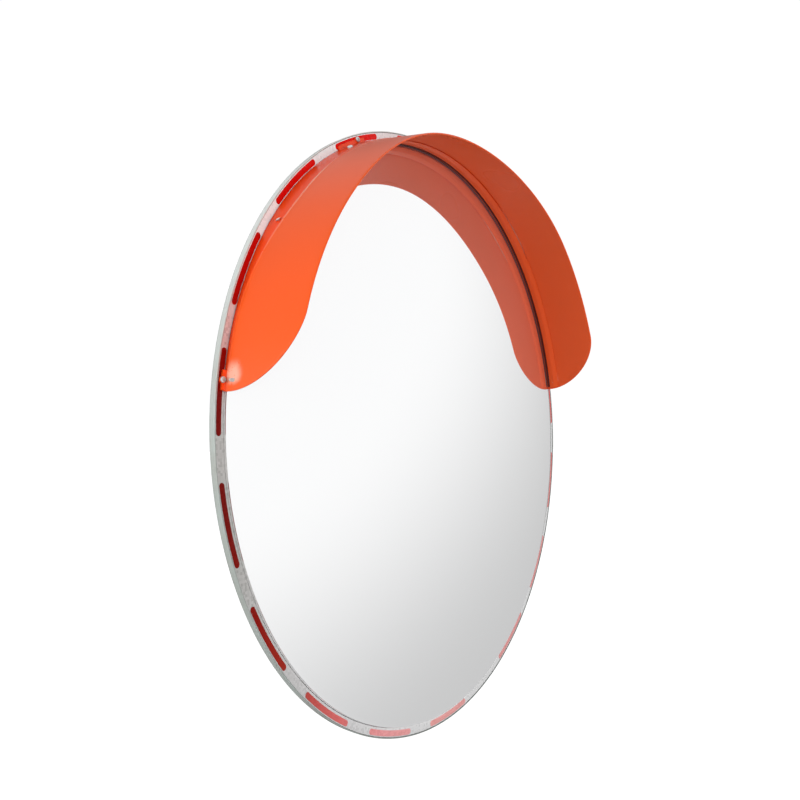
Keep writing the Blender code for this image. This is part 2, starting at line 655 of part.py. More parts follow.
def dome_arc(curve, outer, steps):
    """Points on the dome from its middle outwards: a circle about the sphere's centre."""
    centre = DOME_APEX - DOME_CURVE
    widest = math.asin(outer / curve)
    points = []
    for step in range(steps + 1):
        angle = widest * step / steps
        points.append((curve * math.sin(angle), centre + curve * math.cos(angle)))
    return points


def mirror_dome():
    """Domed polycarbonate sheet with a step and a flat flange."""
    front = dome_arc(DOME_CURVE, DOME_RADIUS, 7)
    back = dome_arc(DOME_CURVE - SHEET, DOME_RADIUS - SHEET, 7)
    profile = front + [(DOME_RADIUS, 0.0), (FLANGE_RADIUS, 0.0), (FLANGE_RADIUS, -SHEET),
                       (DOME_RADIUS - SHEET, -SHEET)] + back[::-1]
    dome = turned("mirror_dome", profile, HEAD, TILT, closed=False)
    return paint(cut(dome, rim_holes("dome_hole")), MIRRORED)


def shell_profile():
    """Back shell in section: flange, side wall, shoulder, cone, boss and flat middle, front then back."""
    foot = DOME_RADIUS + SHELL_FOOT_INSET
    wall_end = foot - SHELL_WALL_RUN
    wall_bottom = SHELL_BOTTOM - SHELL_WALL_DROP
    boss = BRACKET_SIDE / math.sqrt(2) + SHELL_BOSS_EDGE
    back = [(FLANGE_RADIUS, SHELL_BOTTOM), (foot, SHELL_BOTTOM), (wall_end, wall_bottom),
            (wall_end - SHELL_SHOULDER_RUN, wall_bottom - SHELL_SHOULDER_DROP),
            (SHELL_CONE_RADIUS, -SHELL_DEPTH * SHELL_CONE_SHARE),
            (boss + SHELL_BOSS_RUN, -SHELL_DEPTH * SHELL_BOSS_SHARE), (boss, -SHELL_DEPTH), (0.0, -SHELL_DEPTH)]
    front = [(radius - (SHELL_DRAFT if 0.0 < radius < FLANGE_RADIUS else 0.0), height + SHELL_WALL)
             for radius, height in back]
    return front[::-1] + back


def back_shell():
    """Orange dish that closes the head from behind."""
    shell = turned("back_shell", shell_profile(), HEAD, TILT, closed=False)
    holes = rim_holes("shell_rim_hole")
    holes += bracket_holes("shell_bolt_hole", FLANGE_Y + SHELL_DEPTH - SHELL_WALL / 2, SHELL_WALL * 3)
    drain = DOME_RADIUS + SHELL_FOOT_INSET - SHELL_WALL_RUN - SHELL_SHOULDER_RUN - DRAIN_INSET
    holes.append(hole_at("drain_hole", (0.0, FLANGE_Y + SHELL_DEPTH / 2, -drain), ALONG_FRONT,
                         DRAIN_RADIUS, SHELL_DEPTH, TILT))
    return paint(cut(shell, holes), ORANGE)


def rim_rings():
    """Gasket between mirror and shell, edge trim round both, and the silver film."""
    gasket_inner = RIM_SCREW_RADIUS - GASKET_WIDTH / 2
    gasket_outer = RIM_SCREW_RADIUS + GASKET_WIDTH / 2
    gasket = turned("rim_gasket", [(gasket_inner, GASKET_TOP), (gasket_outer, GASKET_TOP),
                                   (gasket_outer, GASKET_BOTTOM), (gasket_inner, GASKET_BOTTOM)], HEAD, TILT)
    paint(cut(gasket, rim_holes("gasket_hole")), RUBBER)

    lip = MIRROR_RADIUS - TRIM_LIP_WIDTH
    chamfer = TRIM_LIP * 0.6
    trim_top = GAP + TRIM_LIP
    trim_bottom = SHELL_BOTTOM - GAP - TRIM_LIP
    profile = [(lip, trim_top), (MIRROR_RADIUS - chamfer, trim_top), (MIRROR_RADIUS, trim_top - chamfer),
               (MIRROR_RADIUS, trim_bottom + chamfer), (MIRROR_RADIUS - chamfer, trim_bottom),
               (lip, trim_bottom), (lip, SHELL_BOTTOM - GAP), (TRIM_INNER, SHELL_BOTTOM - GAP),
               (TRIM_INNER, GAP), (lip, GAP)]
    paint(turned("edge_trim", profile, HEAD, TILT), GREY_TRIM)


def bar_outline(middle):
    """A curved bar with round ends on the flange, in the plane of the flange (X, Z)."""
    half = BAR_SPAN / 2
    cap = BAR_WIDTH / 2
    cap_angle = cap / BAR_RADIUS
    points = []
    start = math.pi / 2 - (middle + half - cap_angle)
    end = math.pi / 2 - (middle - half + cap_angle)
    points += arc((0.0, 0.0), BAR_RADIUS + cap, start, end, 5)
    centre = (BAR_RADIUS * math.cos(end), BAR_RADIUS * math.sin(end))
    points += arc(centre, cap, end, end + math.pi, 6)[1:-1]
    points += arc((0.0, 0.0), BAR_RADIUS - cap, end, start, 5)
    centre = (BAR_RADIUS * math.cos(start), BAR_RADIUS * math.sin(start))
    points += arc(centre, cap, start + math.pi, start + 2 * math.pi, 6)[1:-1]
    return points


def reflective_film():
    """One printed film on the flange: a silver ring and the red bars that stand up from it."""
    film = turned("reflective_film", [(FILM_INNER, FILM_TOP), (FILM_OUTER, FILM_TOP),
                                      (FILM_OUTER, GAP), (FILM_INNER, GAP)], HEAD, TILT)
    height = BAR_TOP - FILM_TOP + FILM_WALL / 2
    for number in range(BAR_COUNT):
        middle = BAR_MIDDLE + (number - (BAR_COUNT - 1) / 2) * BAR_PITCH
        bar = place(f"bar_{number}", plate_mesh("bar", bar_outline(middle), height),
                    (0.0, FLANGE_Y - BAR_TOP + height / 2, 0.0), ALONG_FRONT, TILT)
        join(film, [bar])
    return paint(cut(film, rim_holes("film_hole")), SILVER_FILM)


# ---------------------------------------------------------------- hood
def hood_radius(reach):
    """Outer radius of the hood, which narrows towards its front edge."""
    return HOOD_RADIUS - reach * math.tan(HOOD_TAPER)


def hood_reach(angle):
    """How far the hood's front edge stands out at an angle from the top."""
    turn = abs(angle)
    share = min(turn / HOOD_SIDE_ANGLE, 1.0)
    full = HOOD_TOP_REACH + (HOOD_SIDE_REACH - HOOD_TOP_REACH) * share * share * (3 - 2 * share)
    left = HOOD_END_ANGLE - turn
    if left >= HOOD_CORNER_ANGLE:
        return full
    across = 1.0 - max(left, 0.0) / HOOD_CORNER_ANGLE
    return HOOD_CORNER_START + (full - HOOD_CORNER_START) * math.sqrt(max(0.0, 1.0 - across * across))


def hood_angles():
    """Angles of the hood's columns: even along the top, closer together round the corners."""
    corner = []
    for step in range(HOOD_CORNER_STEPS):
        turn = math.pi / 2 * step / HOOD_CORNER_STEPS
        corner.append(HOOD_END_ANGLE - HOOD_CORNER_ANGLE * (1.0 - math.cos(turn)))
    straight = HOOD_END_ANGLE - HOOD_CORNER_ANGLE
    middle = [straight - 2 * straight * step / HOOD_TOP_STEPS for step in range(HOOD_TOP_STEPS + 1)]
    return corner + middle + [-angle for angle in reversed(corner)]


def hood_holes(name, inner):
    """Radial cutters for the hood's screws."""
    holes = []
    for number, angle in enumerate(both_sides(HOOD_SCREW_PLACES)):
        radius = hood_radius(HOOD_SCREW_REACH) - inner
        centre = flange_point(angle, radius) + Vector((0.0, -HOOD_SCREW_REACH, 0.0))
        holes.append(hole_at(f"{name}_{number}", centre, (0.0, angle, 0.0),
                             SMALL_SCREW_RADIUS + THREAD_FIT / 2, SCREW_HOLE_DEPTH, TILT, sides=8))
    return holes


def tab_outline(middle, span):
    """A tab on the flange: a piece of a flat ring."""
    start = math.pi / 2 - middle - span / 2
    end = start + span
    inner = HOOD_RADIUS - HOOD_WALL * 0.6
    outer = FILM_OUTER - GAP
    return arc((0.0, 0.0), outer, start, end, 6) + arc((0.0, 0.0), inner, end, start, 6)


def hood():
    """Bent orange hood with four tabs turned out over the rim."""
    root = TAB_BOTTOM + GAP / 3

    def rows(angle):
        return [root + (hood_reach(angle) - root) * share for share in HOOD_ROWS]

    cover = bent_sheet("hood", hood_angles(), rows, hood_radius, HOOD_WALL)
    for place_angle, span in zip(TAB_PLACES, TAB_SPANS):
        for side in (-1, 1):
            where = (0.0, FLANGE_Y - (TAB_BOTTOM + TAB_TOP) / 2, 0.0)
            tab = place(f"tab_{side}_{place_angle:.2f}",
                        plate_mesh("tab", tab_outline(side * place_angle, span), TAB_WALL),
                        where, ALONG_FRONT, TILT)
            join(cover, [tab])
    return paint(cut(cover, hood_holes("hood_hole", HOOD_WALL / 2) + rim_holes("tab_hole")), ORANGE)


def hood_lining():
    """The strip behind the hood's root that takes its screws, and the seal below it."""
    end = HOOD_END_ANGLE - LINING_INSET
    between = [angle for angle in hood_angles() if abs(angle) < end - LINING_INSET]
    angles = [end] + between + [-end]
    seal_bottom = DOME_STEP + SEAL_LIFT
    seal_top = seal_bottom + SEAL_WIDTH
    inside = HOOD_WALL / math.cos(HOOD_TAPER) + GAP
    seal = bent_sheet("hood_seal", angles, lambda angle: (seal_bottom, seal_top),
                      lambda reach: hood_radius(reach) - inside, SEAL_WALL)
    paint(seal, RUBBER)
    strip_bottom = seal_top + GAP
    strip_top = strip_bottom + ROOT_STRIP_WIDTH
    strip = bent_sheet("hood_root_strip", angles, lambda angle: (strip_bottom, strip_top),
                       lambda reach: hood_radius(reach) - inside, ROOT_STRIP_WALL)
    paint(cut(strip, hood_holes("root_hole", inside + ROOT_STRIP_WALL / 2)), ORANGE)


def small_screws():
    """Screws of the hood and of its tabs."""
    grip = GAP + HOOD_WALL + GAP + ROOT_STRIP_WALL + SMALL_SCREW_TAIL
    spots = []
    for angle in both_sides(HOOD_SCREW_PLACES):
        centre = flange_point(angle, hood_radius(HOOD_SCREW_REACH) + GAP * 1.5)
        centre += Vector((0.0, -HOOD_SCREW_REACH, 0.0))
        spots.append(Matrix.Translation(centre) @ Matrix.Rotation(angle, 4, "Y"))
    fit_row("hood_screw", round_screw_mesh(grip), spots, ZINC, TILT)

    forward = Matrix.Rotation(math.pi / 2, 4, "X")
    head = TAB_TOP + GAP
    grip = head - SHELL_BOTTOM + SMALL_SCREW_TAIL
    spots = []
    for angle in both_sides(RIM_SCREW_PLACES):
        centre = flange_point(angle, RIM_SCREW_RADIUS) + Vector((0.0, -head, 0.0))
        spots.append(Matrix.Translation(centre) @ forward)
    fit_row("rim_screw", round_screw_mesh(grip), spots, ZINC, TILT)


post_clamp()
pivots()
swivel_yoke()
tilt_bracket()
mirror_dome()
back_shell()
rim_rings()
reflective_film()
hood()
hood_lining()
small_screws()
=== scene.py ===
import math

import bpy
import numpy as np
from mathutils import Matrix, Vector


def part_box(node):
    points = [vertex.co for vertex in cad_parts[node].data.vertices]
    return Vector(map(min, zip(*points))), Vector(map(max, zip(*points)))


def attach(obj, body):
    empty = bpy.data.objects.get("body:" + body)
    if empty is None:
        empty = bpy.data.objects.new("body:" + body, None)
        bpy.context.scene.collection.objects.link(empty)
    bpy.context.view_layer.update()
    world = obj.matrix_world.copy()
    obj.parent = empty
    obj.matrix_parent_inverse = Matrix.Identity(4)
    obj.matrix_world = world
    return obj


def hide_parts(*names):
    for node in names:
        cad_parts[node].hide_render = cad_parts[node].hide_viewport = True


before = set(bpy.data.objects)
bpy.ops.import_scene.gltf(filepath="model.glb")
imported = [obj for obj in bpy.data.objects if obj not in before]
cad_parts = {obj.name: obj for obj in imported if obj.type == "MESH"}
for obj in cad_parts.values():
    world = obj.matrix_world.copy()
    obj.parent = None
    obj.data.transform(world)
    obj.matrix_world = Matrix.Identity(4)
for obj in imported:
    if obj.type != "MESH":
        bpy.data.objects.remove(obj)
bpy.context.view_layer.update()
# Traffic convex mirror, 800 mm.  Metres, +Z up, the mirror looks along -Y.  The sections follow the
# object as it is put together, from the clamp on the post to the hood over the mirror.


# ---------------------------------------------------------------- pole saddle and pole strap
# The two halves of the post clamp: 5 mm steel bent round the post, with an ear on each side, and
# on the saddle two welded lugs for the pan bolt.  Cut, pressed, welded, then hot-dip galvanised.
bore_radius = 0.0385
clamp_wall = 0.005
clamp_height = 0.090
ear_middle = 0.0065          # middle of the ear's plate, from the plane between the halves
ear_end = 0.0795
ear_bend = 0.007             # middle radius of the bend between hoop and ear
clamp_bolt_x = 0.0605
clamp_bolt_z = 0.025
clamp_bolt_hole = 0.0056
pan_y = -0.070
pan_lug_middle = 0.0240
pan_lug_radius = 0.020
lug_wall = 0.006
pivot_hole = 0.0066


def cells(rows, columns, wrap_rows, wrap_columns):
    """Quads of a grid of points numbered row by row: each joins a point and its next neighbours."""
    r = np.arange(rows if wrap_rows else rows - 1)[:, None]
    c = np.arange(columns if wrap_columns else columns - 1)[None, :]
    r_next, c_next = (r + 1) % rows, (c + 1) % columns
    corners = [r * columns + c, r * columns + c_next, r_next * columns + c_next, r_next * columns + c]
    return np.stack(corners, -1).reshape(-1, 4)


def skin(grid, wrap_rows=False, caps=True):
    """A closed skin from a grid [row, column, xyz] whose columns run round.

    Either the rows close on themselves too, or the first and last row are each capped.  The
    signed volume, a sum of point times area vector over all corners, says which way it faces.
    """
    rows, columns = grid.shape[:2]
    points = grid.reshape(-1, 3)
    quads = cells(rows, columns, wrap_rows, True)
    ends = []
    if caps and not wrap_rows:
        ends = [np.arange(columns)[::-1], np.arange((rows - 1) * columns, rows * columns)]
    a, b, c, d = (points[quads[:, i]] for i in range(4))
    volume = np.einsum("ij,ij->", a, np.cross(b, c)) + np.einsum("ij,ij->", a, np.cross(c, d))
    for end in ends:
        first, second, third = points[end[0]][None], points[end[1:-1]], points[end[2:]]
        volume += np.einsum("ij,ij->", np.repeat(first, len(second), 0), np.cross(second, third))
    faces = quads.tolist() + [end.tolist() for end in ends]
    if volume < 0:
        faces = [face[::-1] for face in faces]
    return points, faces


def mesh_piece(name, skins, material, angle=32):
    """One object from several skins, smooth except across edges sharper than the angle."""
    points, faces, start = [], [], 0
    for skin_points, skin_faces in skins:
        points.append(skin_points)
        faces += [[corner + start for corner in face] for face in skin_faces]
        start += len(skin_points)
    mesh = bpy.data.meshes.new(name)
    mesh.from_pydata(np.concatenate(points).tolist(), [], faces)
    mesh.materials.append(material)
    mesh.shade_smooth()
    mesh.set_sharp_from_angle(angle=math.radians(angle))
    made = bpy.data.objects.new(name, mesh)
    bpy.context.scene.collection.objects.link(made)
    return made


def put(skin_made, origin, along, across):
    """A skin moved so that its Z lies along one direction and its X across it, from an origin."""
    z = np.array(along, float) / np.linalg.norm(along)
    x = np.array(across, float) / np.linalg.norm(across)
    points, faces = skin_made
    return points @ np.array([x, np.cross(z, x), z]) + np.array(origin, float), faces


def turned(profile, steps=48):
    """A closed profile of (radius, height) turned round Z: x = r cos a, y = r sin a, z = height."""
    profile = np.array(profile, float)
    a = np.linspace(0, 2 * np.pi, steps, endpoint=False)
    r, h = profile[:, :1], profile[:, 1:]
    grid = np.stack([r * np.cos(a), r * np.sin(a), h + 0 * a], -1)
    return skin(grid, wrap_rows=True)


def corners_of(left, right, low, high):
    """The four corners of a box, anticlockwise from its lower left."""
    return [(left, low), (right, low), (right, high), (left, high)]


def rounded(corners, radii, steps=4, closed=True):
    """A line through corners with each corner replaced by an arc that touches both its sides.

    The arc is read off the quadratic through the two touching points, pulled to the corner.
    """
    corners = np.array(corners, float)
    radii = np.broadcast_to(radii, len(corners))
    made = []
    for i, (corner, radius) in enumerate(zip(corners, radii)):
        if not closed and i in (0, len(corners) - 1) or radius == 0:
            made.append(corner[None])
            continue
        before, after = corners[i - 1] - corner, corners[(i + 1) % len(corners)] - corner
        reach_before, reach_after = np.linalg.norm(before), np.linalg.norm(after)
        before, after = before / reach_before, after / reach_after
        half = np.arccos(np.clip(before @ after, -1, 1)) / 2
        reach = min(radius / max(np.tan(half), 1e-3), 0.49 * reach_before, 0.49 * reach_after)
        t = np.linspace(0, 1, steps + 1)[:, None]
        made.append(corner + before * reach * (1 - t) ** 2 + after * reach * t ** 2)
    return np.concatenate(made)


def swept(path, outline, up):
    """An outline of (sideways, upwards) carried along a level path: point + side * a + up * b."""
    path = np.array(path, float)
    tangent = np.gradient(path, axis=0)
    tangent /= np.linalg.norm(tangent, axis=1, keepdims=True)
    up = np.array(up, float)
    side = np.cross(up, tangent)
    outline = np.array(outline, float)
    grid = path[:, None] + side[:, None] * outline[None, :, :1] + up * outline[None, :, 1:]
    return skin(grid)


def plate(outline, thickness, edge=0.0007):
    """A flat plate in XY, edges rounded: rings of the outline drawn in by e(1 - cos), up by e(1 - sin)."""
    outline = np.array(outline, float)
    ahead = np.roll(outline, -1, 0) - np.roll(outline, 1, 0)
    ahead /= np.linalg.norm(ahead, axis=1, keepdims=True)
    inward = np.stack([-ahead[:, 1], ahead[:, 0]], -1)
    turn = np.linspace(0, np.pi / 2, 4)
    inset = np.concatenate([edge * (1 - np.sin(turn)), edge * (1 - np.cos(turn))])
    level = np.concatenate([edge * (1 - np.cos(turn)), thickness - edge * (1 - np.sin(turn))])
    level = level - thickness / 2
    flat = outline[None] + inward[None] * inset[:, None, None]
    grid = np.concatenate([flat, np.broadcast_to(level[:, None, None], flat.shape[:2] + (1,))], -1)
    return skin(grid)


def arc(centre, radius, start, end, steps):
    """Points on an arc, the angles in degrees, both ends included."""
    a = np.radians(np.linspace(start, end, steps + 1))
    return np.stack([centre[0] + radius * np.cos(a), centre[1] + radius * np.sin(a)], -1)


def tongue(length, radius):
    """A strap that ends in a half circle about the origin and reaches back along -X."""
    return np.concatenate([arc((0, 0), radius, -90, 90, 32), [(-length, radius), (-length, -radius)]])


def weld_bead(path, radius, ripple=0.0022):
    """A weld bead: a ten-sided tube on a path, its radius falling to nothing at both ends.

    The radius swells and sinks with |sin| of the way along over the ripple length.
    """
    path = np.array(path, float)
    way = np.concatenate([[0], np.cumsum(np.linalg.norm(np.diff(path, axis=0), axis=1))])
    t = np.linspace(0, way[-1], max(12, int(way[-1] / ripple * 5)))
    line = np.stack([np.interp(t, way, path[:, i]) for i in range(3)], -1)
    tangent = np.gradient(line, axis=0)
    tangent /= np.linalg.norm(tangent, axis=1, keepdims=True)
    pick = np.array([0.31, 0.17, 0.93])
    side = np.cross(tangent, pick)
    side /= np.linalg.norm(side, axis=1, keepdims=True)
    other = np.cross(tangent, side)
    share = t / t[-1]
    size = radius * (0.86 + 0.16 * np.abs(np.sin(np.pi * t / ripple)))
    size = size * np.sqrt(np.clip(1 - np.abs(2 * share - 1) ** 12, 0.02, 1))
    a = np.linspace(0, 2 * np.pi, 10, endpoint=False)
    ring = side[:, None] * np.cos(a)[None, :, None] + other[:, None] * np.sin(a)[None, :, None]
    return skin(line[:, None] + ring * size[:, None, None])


def drilled(made, holes, steps=40):
    """Cut round holes through a piece; each hole is a centre, a direction, a radius and a depth."""
    ring = []
    for centre, along, radius, depth in holes:
        across = np.cross(along, (0.3, 0.5, 0.8))
        bar = turned([(radius, -depth / 2), (radius, depth / 2), (0.0, depth / 2), (0.0, -depth / 2)], steps)
        ring.append(put(bar, centre, along, across))
    cutter = mesh_piece("cutter", ring, made.data.materials[0])
    merge = cutter.modifiers.new("merge", "WELD")
    merge.merge_threshold = 1e-6
    boolean = made.modifiers.new("holes", "BOOLEAN")
    boolean.operation = "DIFFERENCE"
    boolean.solver = "EXACT"
    boolean.object = cutter
    bpy.context.view_layer.update()
    evaluated = made.evaluated_get(bpy.context.evaluated_depsgraph_get())
    mesh = bpy.data.meshes.new_from_object(evaluated)
    made.modifiers.clear()
    made.data = mesh
    mesh.set_sharp_from_angle(angle=math.radians(32))
    bpy.data.objects.remove(cutter, do_unlink=True)
    return made


def assign(made, body, node=None):
    """Let a piece ride on a body, in the place of its CAD node if it has one, which is hidden."""
    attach(made, body)
    if node:
        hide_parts(node)


def new_finish(name, **values):
    """A new material, its tree, and its Principled shader with plain values set."""
    material = bpy.data.materials.new(name)
    material.use_nodes = True
    tree = material.node_tree
    shader = tree.nodes["Principled BSDF"]
    for socket, value in values.items():
        shader.inputs[socket.replace("_", " ")].default_value = value
    return material, tree, shader


def add(tree, kind, inputs=(), **settings):
    """One node with its settings; each input is a value or another node's output socket."""
    node = tree.nodes.new(kind)
    for name, value in settings.items():
        setattr(node, name, value)
    for key, value in dict(inputs).items():
        if isinstance(value, bpy.types.NodeSocket):
            tree.links.new(value, node.inputs[key])
        else:
            node.inputs[key].default_value = value
    return node


def mix(tree, share, first, second):
    """The colour that is a share of the way from the first to the second."""
    return add(tree, "ShaderNodeMixRGB", {0: share, 1: first, 2: second}).outputs[0]


def object_place(tree):
    """The place on the piece, in metres."""
    return add(tree, "ShaderNodeTexCoord").outputs["Object"]


def grain(tree, place, scale, detail=2.0, rough=0.5):
    """A noise texture: its cells to the metre, how many finer layers it has and how strong they are."""
    given = {"Vector": place, "Scale": scale, "Detail": detail, "Roughness": rough}
    return add(tree, "ShaderNodeTexNoise", given)


def maths(tree, operation, *values, **settings):
    """The result of one operation on one or two values."""
    return add(tree, "ShaderNodeMath", dict(enumerate(values)), operation=operation, **settings).outputs[0]


def spread(tree, value, start=0.0, end=1.0, low=0.0, high=1.0, soft=False):
    """A value moved from the range start to end on to the range low to high, straight or by a smooth step."""
    kind = "SMOOTHSTEP" if soft else "LINEAR"
    ranges = {"Value": value, "From Min": start, "From Max": end, "To Min": low, "To Max": high}
    return add(tree, "ShaderNodeMapRange", ranges, interpolation_type=kind).outputs[0]


def surface(tree, shader, colour, height, strength, depth, rough=None):
    """Join a colour, a relief of some strength and depth in metres, and a roughness to the shader."""
    tree.links.new(colour, shader.inputs["Base Color"])
    if rough:
        tree.links.new(rough, shader.inputs["Roughness"])
    bump = add(tree, "ShaderNodeBump", {"Strength": strength, "Distance": depth, "Height": height})
    tree.links.new(bump.outputs[0], shader.inputs["Normal"])


def new_group(name, inputs, outputs):
    """An empty node group with named inputs (a name to its default) and outputs (a name to its kind)."""
    group = bpy.data.node_groups.new(name, "ShaderNodeTree")
    for label, value in inputs.items():
        kind = "NodeSocketVector" if value is None else "NodeSocketFloat"
        socket = group.interface.new_socket(label, in_out="INPUT", socket_type=kind)
        if value is not None:
            socket.default_value = value
    for label, kind in outputs.items():
        group.interface.new_socket(label, in_out="OUTPUT", socket_type=kind)
    return group, group.nodes.new("NodeGroupInput"), group.nodes.new("NodeGroupOutput")


def give(group, out, **made):
    """Join each value to the group's output of that name."""
    for label, value in made.items():
        group.links.new(value, out.inputs[label])


def weathering_group():
    """Handling and weather: Wear is broad soft patches, Speck small dots, Height both for a bump."""
    group, given, out = new_group("weathering", {"Place": None, "Scale": 1.0},
        {"Wear": "NodeSocketFloat", "Speck": "NodeSocketFloat", "Height": "NodeSocketFloat"})
    place = given.outputs["Place"]
    broad_scale = maths(group, "MULTIPLY", given.outputs["Scale"], 14.0)
    broad = grain(group, place, broad_scale, 6.0, 0.62)
    wear = spread(group, broad.outputs["Fac"], start=0.30, end=0.85, soft=True)
    speck_scale = maths(group, "MULTIPLY", given.outputs["Scale"], 420.0)
    small = grain(group, place, speck_scale)
    speck = spread(group, small.outputs["Fac"], start=0.62, end=0.74)
    height = maths(group, "ADD", wear, small.outputs["Fac"])
    give(group, out, Wear=wear, Speck=speck, Height=height)
    return group


weathering = weathering_group()


def weathered(tree, scale=1.0):
    """Object coordinates, and the weathering group that reads them at a scale."""
    place = object_place(tree)
    return place, add(tree, "ShaderNodeGroup", {"Place": place, "Scale": scale}, node_tree=weathering)


def galvanised_finish():
    """Hot-dip zinc: cells of crystal, each with its own grey and gloss, and fine drips and dulling."""
    material, tree, shader = new_finish("galvanised_steel", Metallic=0.85)
    place, aged = weathered(tree)
    bent = grain(tree, place, 90.0, 3.0)
    moved = mix(tree, 0.012, place, bent.outputs["Color"])
    crystal = add(tree, "ShaderNodeTexVoronoi", {"Vector": moved, "Scale": 130.0})
    grey = add(tree, "ShaderNodeSeparateColor", {0: crystal.outputs["Color"]})
    tone = spread(tree, grey.outputs[0], low=0.0, high=1.0)
    zinc = mix(tree, tone, (0.36, 0.38, 0.39, 1), (0.56, 0.585, 0.60, 1))
    dull = mix(tree, aged.outputs["Wear"], zinc, (0.50, 0.51, 0.50, 1))
    rough = spread(tree, grey.outputs[1], low=0.30, high=0.50)
    surface(tree, shader, dull, aged.outputs["Height"], 0.25, 0.0003, rough)
    return material


galvanised = galvanised_finish()


def hoop_path(side):
    """The middle line of one half: ear, bend, hoop, bend, ear, in XY; side is -1 in front, 1 behind."""
    middle = bore_radius + clamp_wall / 2
    bend_y = ear_middle + ear_bend
    bend_x = math.sqrt((middle + ear_bend) ** 2 - bend_y ** 2)
    lean = math.degrees(math.atan2(bend_y, bend_x))
    right = np.concatenate([np.stack([np.linspace(ear_end, bend_x, 8)[:-1], np.full(7, ear_middle)], -1),
        arc((bend_x, bend_y), ear_bend, -90, lean - 180, 10)[:-1], arc((0, 0), middle, lean, 90, 28)])
    half = np.concatenate([right, (right * [-1, 1])[-2::-1]])
    return np.concatenate([half * [1, side], np.zeros((len(half), 1))], 1)


def clamp_half(side):
    """One half of the clamp, 5 mm plate with rounded edges, as a rounded box carried along the hoop."""
    wall, high = clamp_wall / 2, clamp_height / 2
    box = rounded(corners_of(-wall, wall, -high, high), 0.0011)
    return swept(hoop_path(side), box, (0, 0, 1))


def clamp_holes(side):
    """The four bolt holes through one half."""
    return [((x, side * ear_middle, z), (0, 1, 0), clamp_bolt_hole, 0.02)
        for x in (-clamp_bolt_x, clamp_bolt_x) for z in (-clamp_bolt_z, clamp_bolt_z)]


def front_of_hoop(z, reach=0.0196):
    """The line where a lug meets the hoop, on the hoop's outside at height z."""
    radius = bore_radius + clamp_wall
    x = np.linspace(-reach, reach, 30)
    return np.stack([x, -np.sqrt(radius ** 2 - x ** 2) - 0.0004, np.full(30, z)], -1)


lug_shape = tongue(-pan_y - bore_radius - clamp_wall / 2, pan_lug_radius)
lugs = [put(plate(lug_shape, lug_wall), (0, pan_y, side * pan_lug_middle), (0, 0, side), (0, -1, 0))
    for side in (-1, 1)]
saddle = mesh_piece("saddle_plate", [clamp_half(-1)], galvanised)
drilled(saddle, clamp_holes(-1))
assign(saddle, "clamp", "pole_saddle")
pan_lugs = mesh_piece("saddle_lugs", lugs, galvanised)
drilled(pan_lugs, [((0, pan_y, 0), (0, 0, 1), pivot_hole, 0.08)])
assign(pan_lugs, "clamp")
faces_of_lugs = [side * pan_lug_middle + face * (lug_wall / 2 + 0.0006) for side in (-1, 1)
    for face in (-1, 1)]
saddle_welds = mesh_piece("saddle_welds", [weld_bead(front_of_hoop(z), 0.0024) for z in faces_of_lugs],
    galvanised, 60)
assign(saddle_welds, "clamp")
strap = mesh_piece("strap_plate", [clamp_half(1)], galvanised)
drilled(strap, clamp_holes(1))
assign(strap, "clamp", "pole_strap")


# ---------------------------------------------------------------- clamp bolts, nuts and washers
# Four M10 hexagon bolts through the ears, with a washer and a nut behind.  Forged and rolled
# steel, zinc plated and blue passivated.
clamp_thread = 0.005
clamp_pitch = 0.0015
clamp_head_face = 0.0093
clamp_nut_face = 0.0121
clamp_bolt_end = 0.0301
washer_wall = 0.0025
hex_size = 1.85              # corner radius over the thread's radius


def hexagon(rows, radius, steps=72):
    """Rings of (height, cone radius), each cut to a hexagon: radius = least of cone and flat / cos(a)."""
    a = np.linspace(0, 2 * np.pi, steps, endpoint=False)
    flat = radius * math.cos(math.pi / 6) / np.cos((a + np.pi / 6) % (np.pi / 3) - np.pi / 6)
    rows = np.array(rows, float)
    r = np.minimum(rows[:, 1:], flat[None])
    return np.stack([r * np.cos(a), r * np.sin(a), rows[:, :1] + 0 * a], -1)


def hex_head(radius, height):
    """A forged head from z = 0 up: washer face, sides, the chamfer's cone, and a flat top."""
    corner = radius * hex_size
    flat = corner * math.cos(math.pi / 6)
    cone = [(height * (0.72 + 0.28 * t), corner * (1 - 0.17 * t)) for t in np.linspace(0, 1, 6)]
    rows = [(0, flat * 0.94), (height * 0.05, flat * 0.95), (height * 0.06, corner)] + cone
    rows += [(height * 1.0, flat * 0.90), (height * 0.975, flat * 0.86)]
    return skin(hexagon(rows, corner))


def hex_nut(radius, height, hole):
    """A nut from z = 0 up, chamfered at both ends, with a countersunk bore."""
    corner = radius * hex_size
    rise = np.linspace(0, 1, 5)
    low = [(height * 0.22 * t, corner * (0.84 + 0.16 * t)) for t in rise]
    high = [(height * (1 - 0.22 * t), corner * (0.84 + 0.16 * t)) for t in rise[::-1]]
    rows = low + high + [(height, hole * 1.12), (height * 0.9, hole), (height * 0.1, hole), (0, hole * 1.12)]
    return skin(hexagon(rows, corner), wrap_rows=True)


def flat_washer(outer, hole, wall):
    """A stamped washer from z = 0 up, its outer edges rounded."""
    section = rounded(corners_of(hole, outer, 0, wall), [0.0002, 0.0005, 0.0005, 0.0002])
    return turned(section, 56)


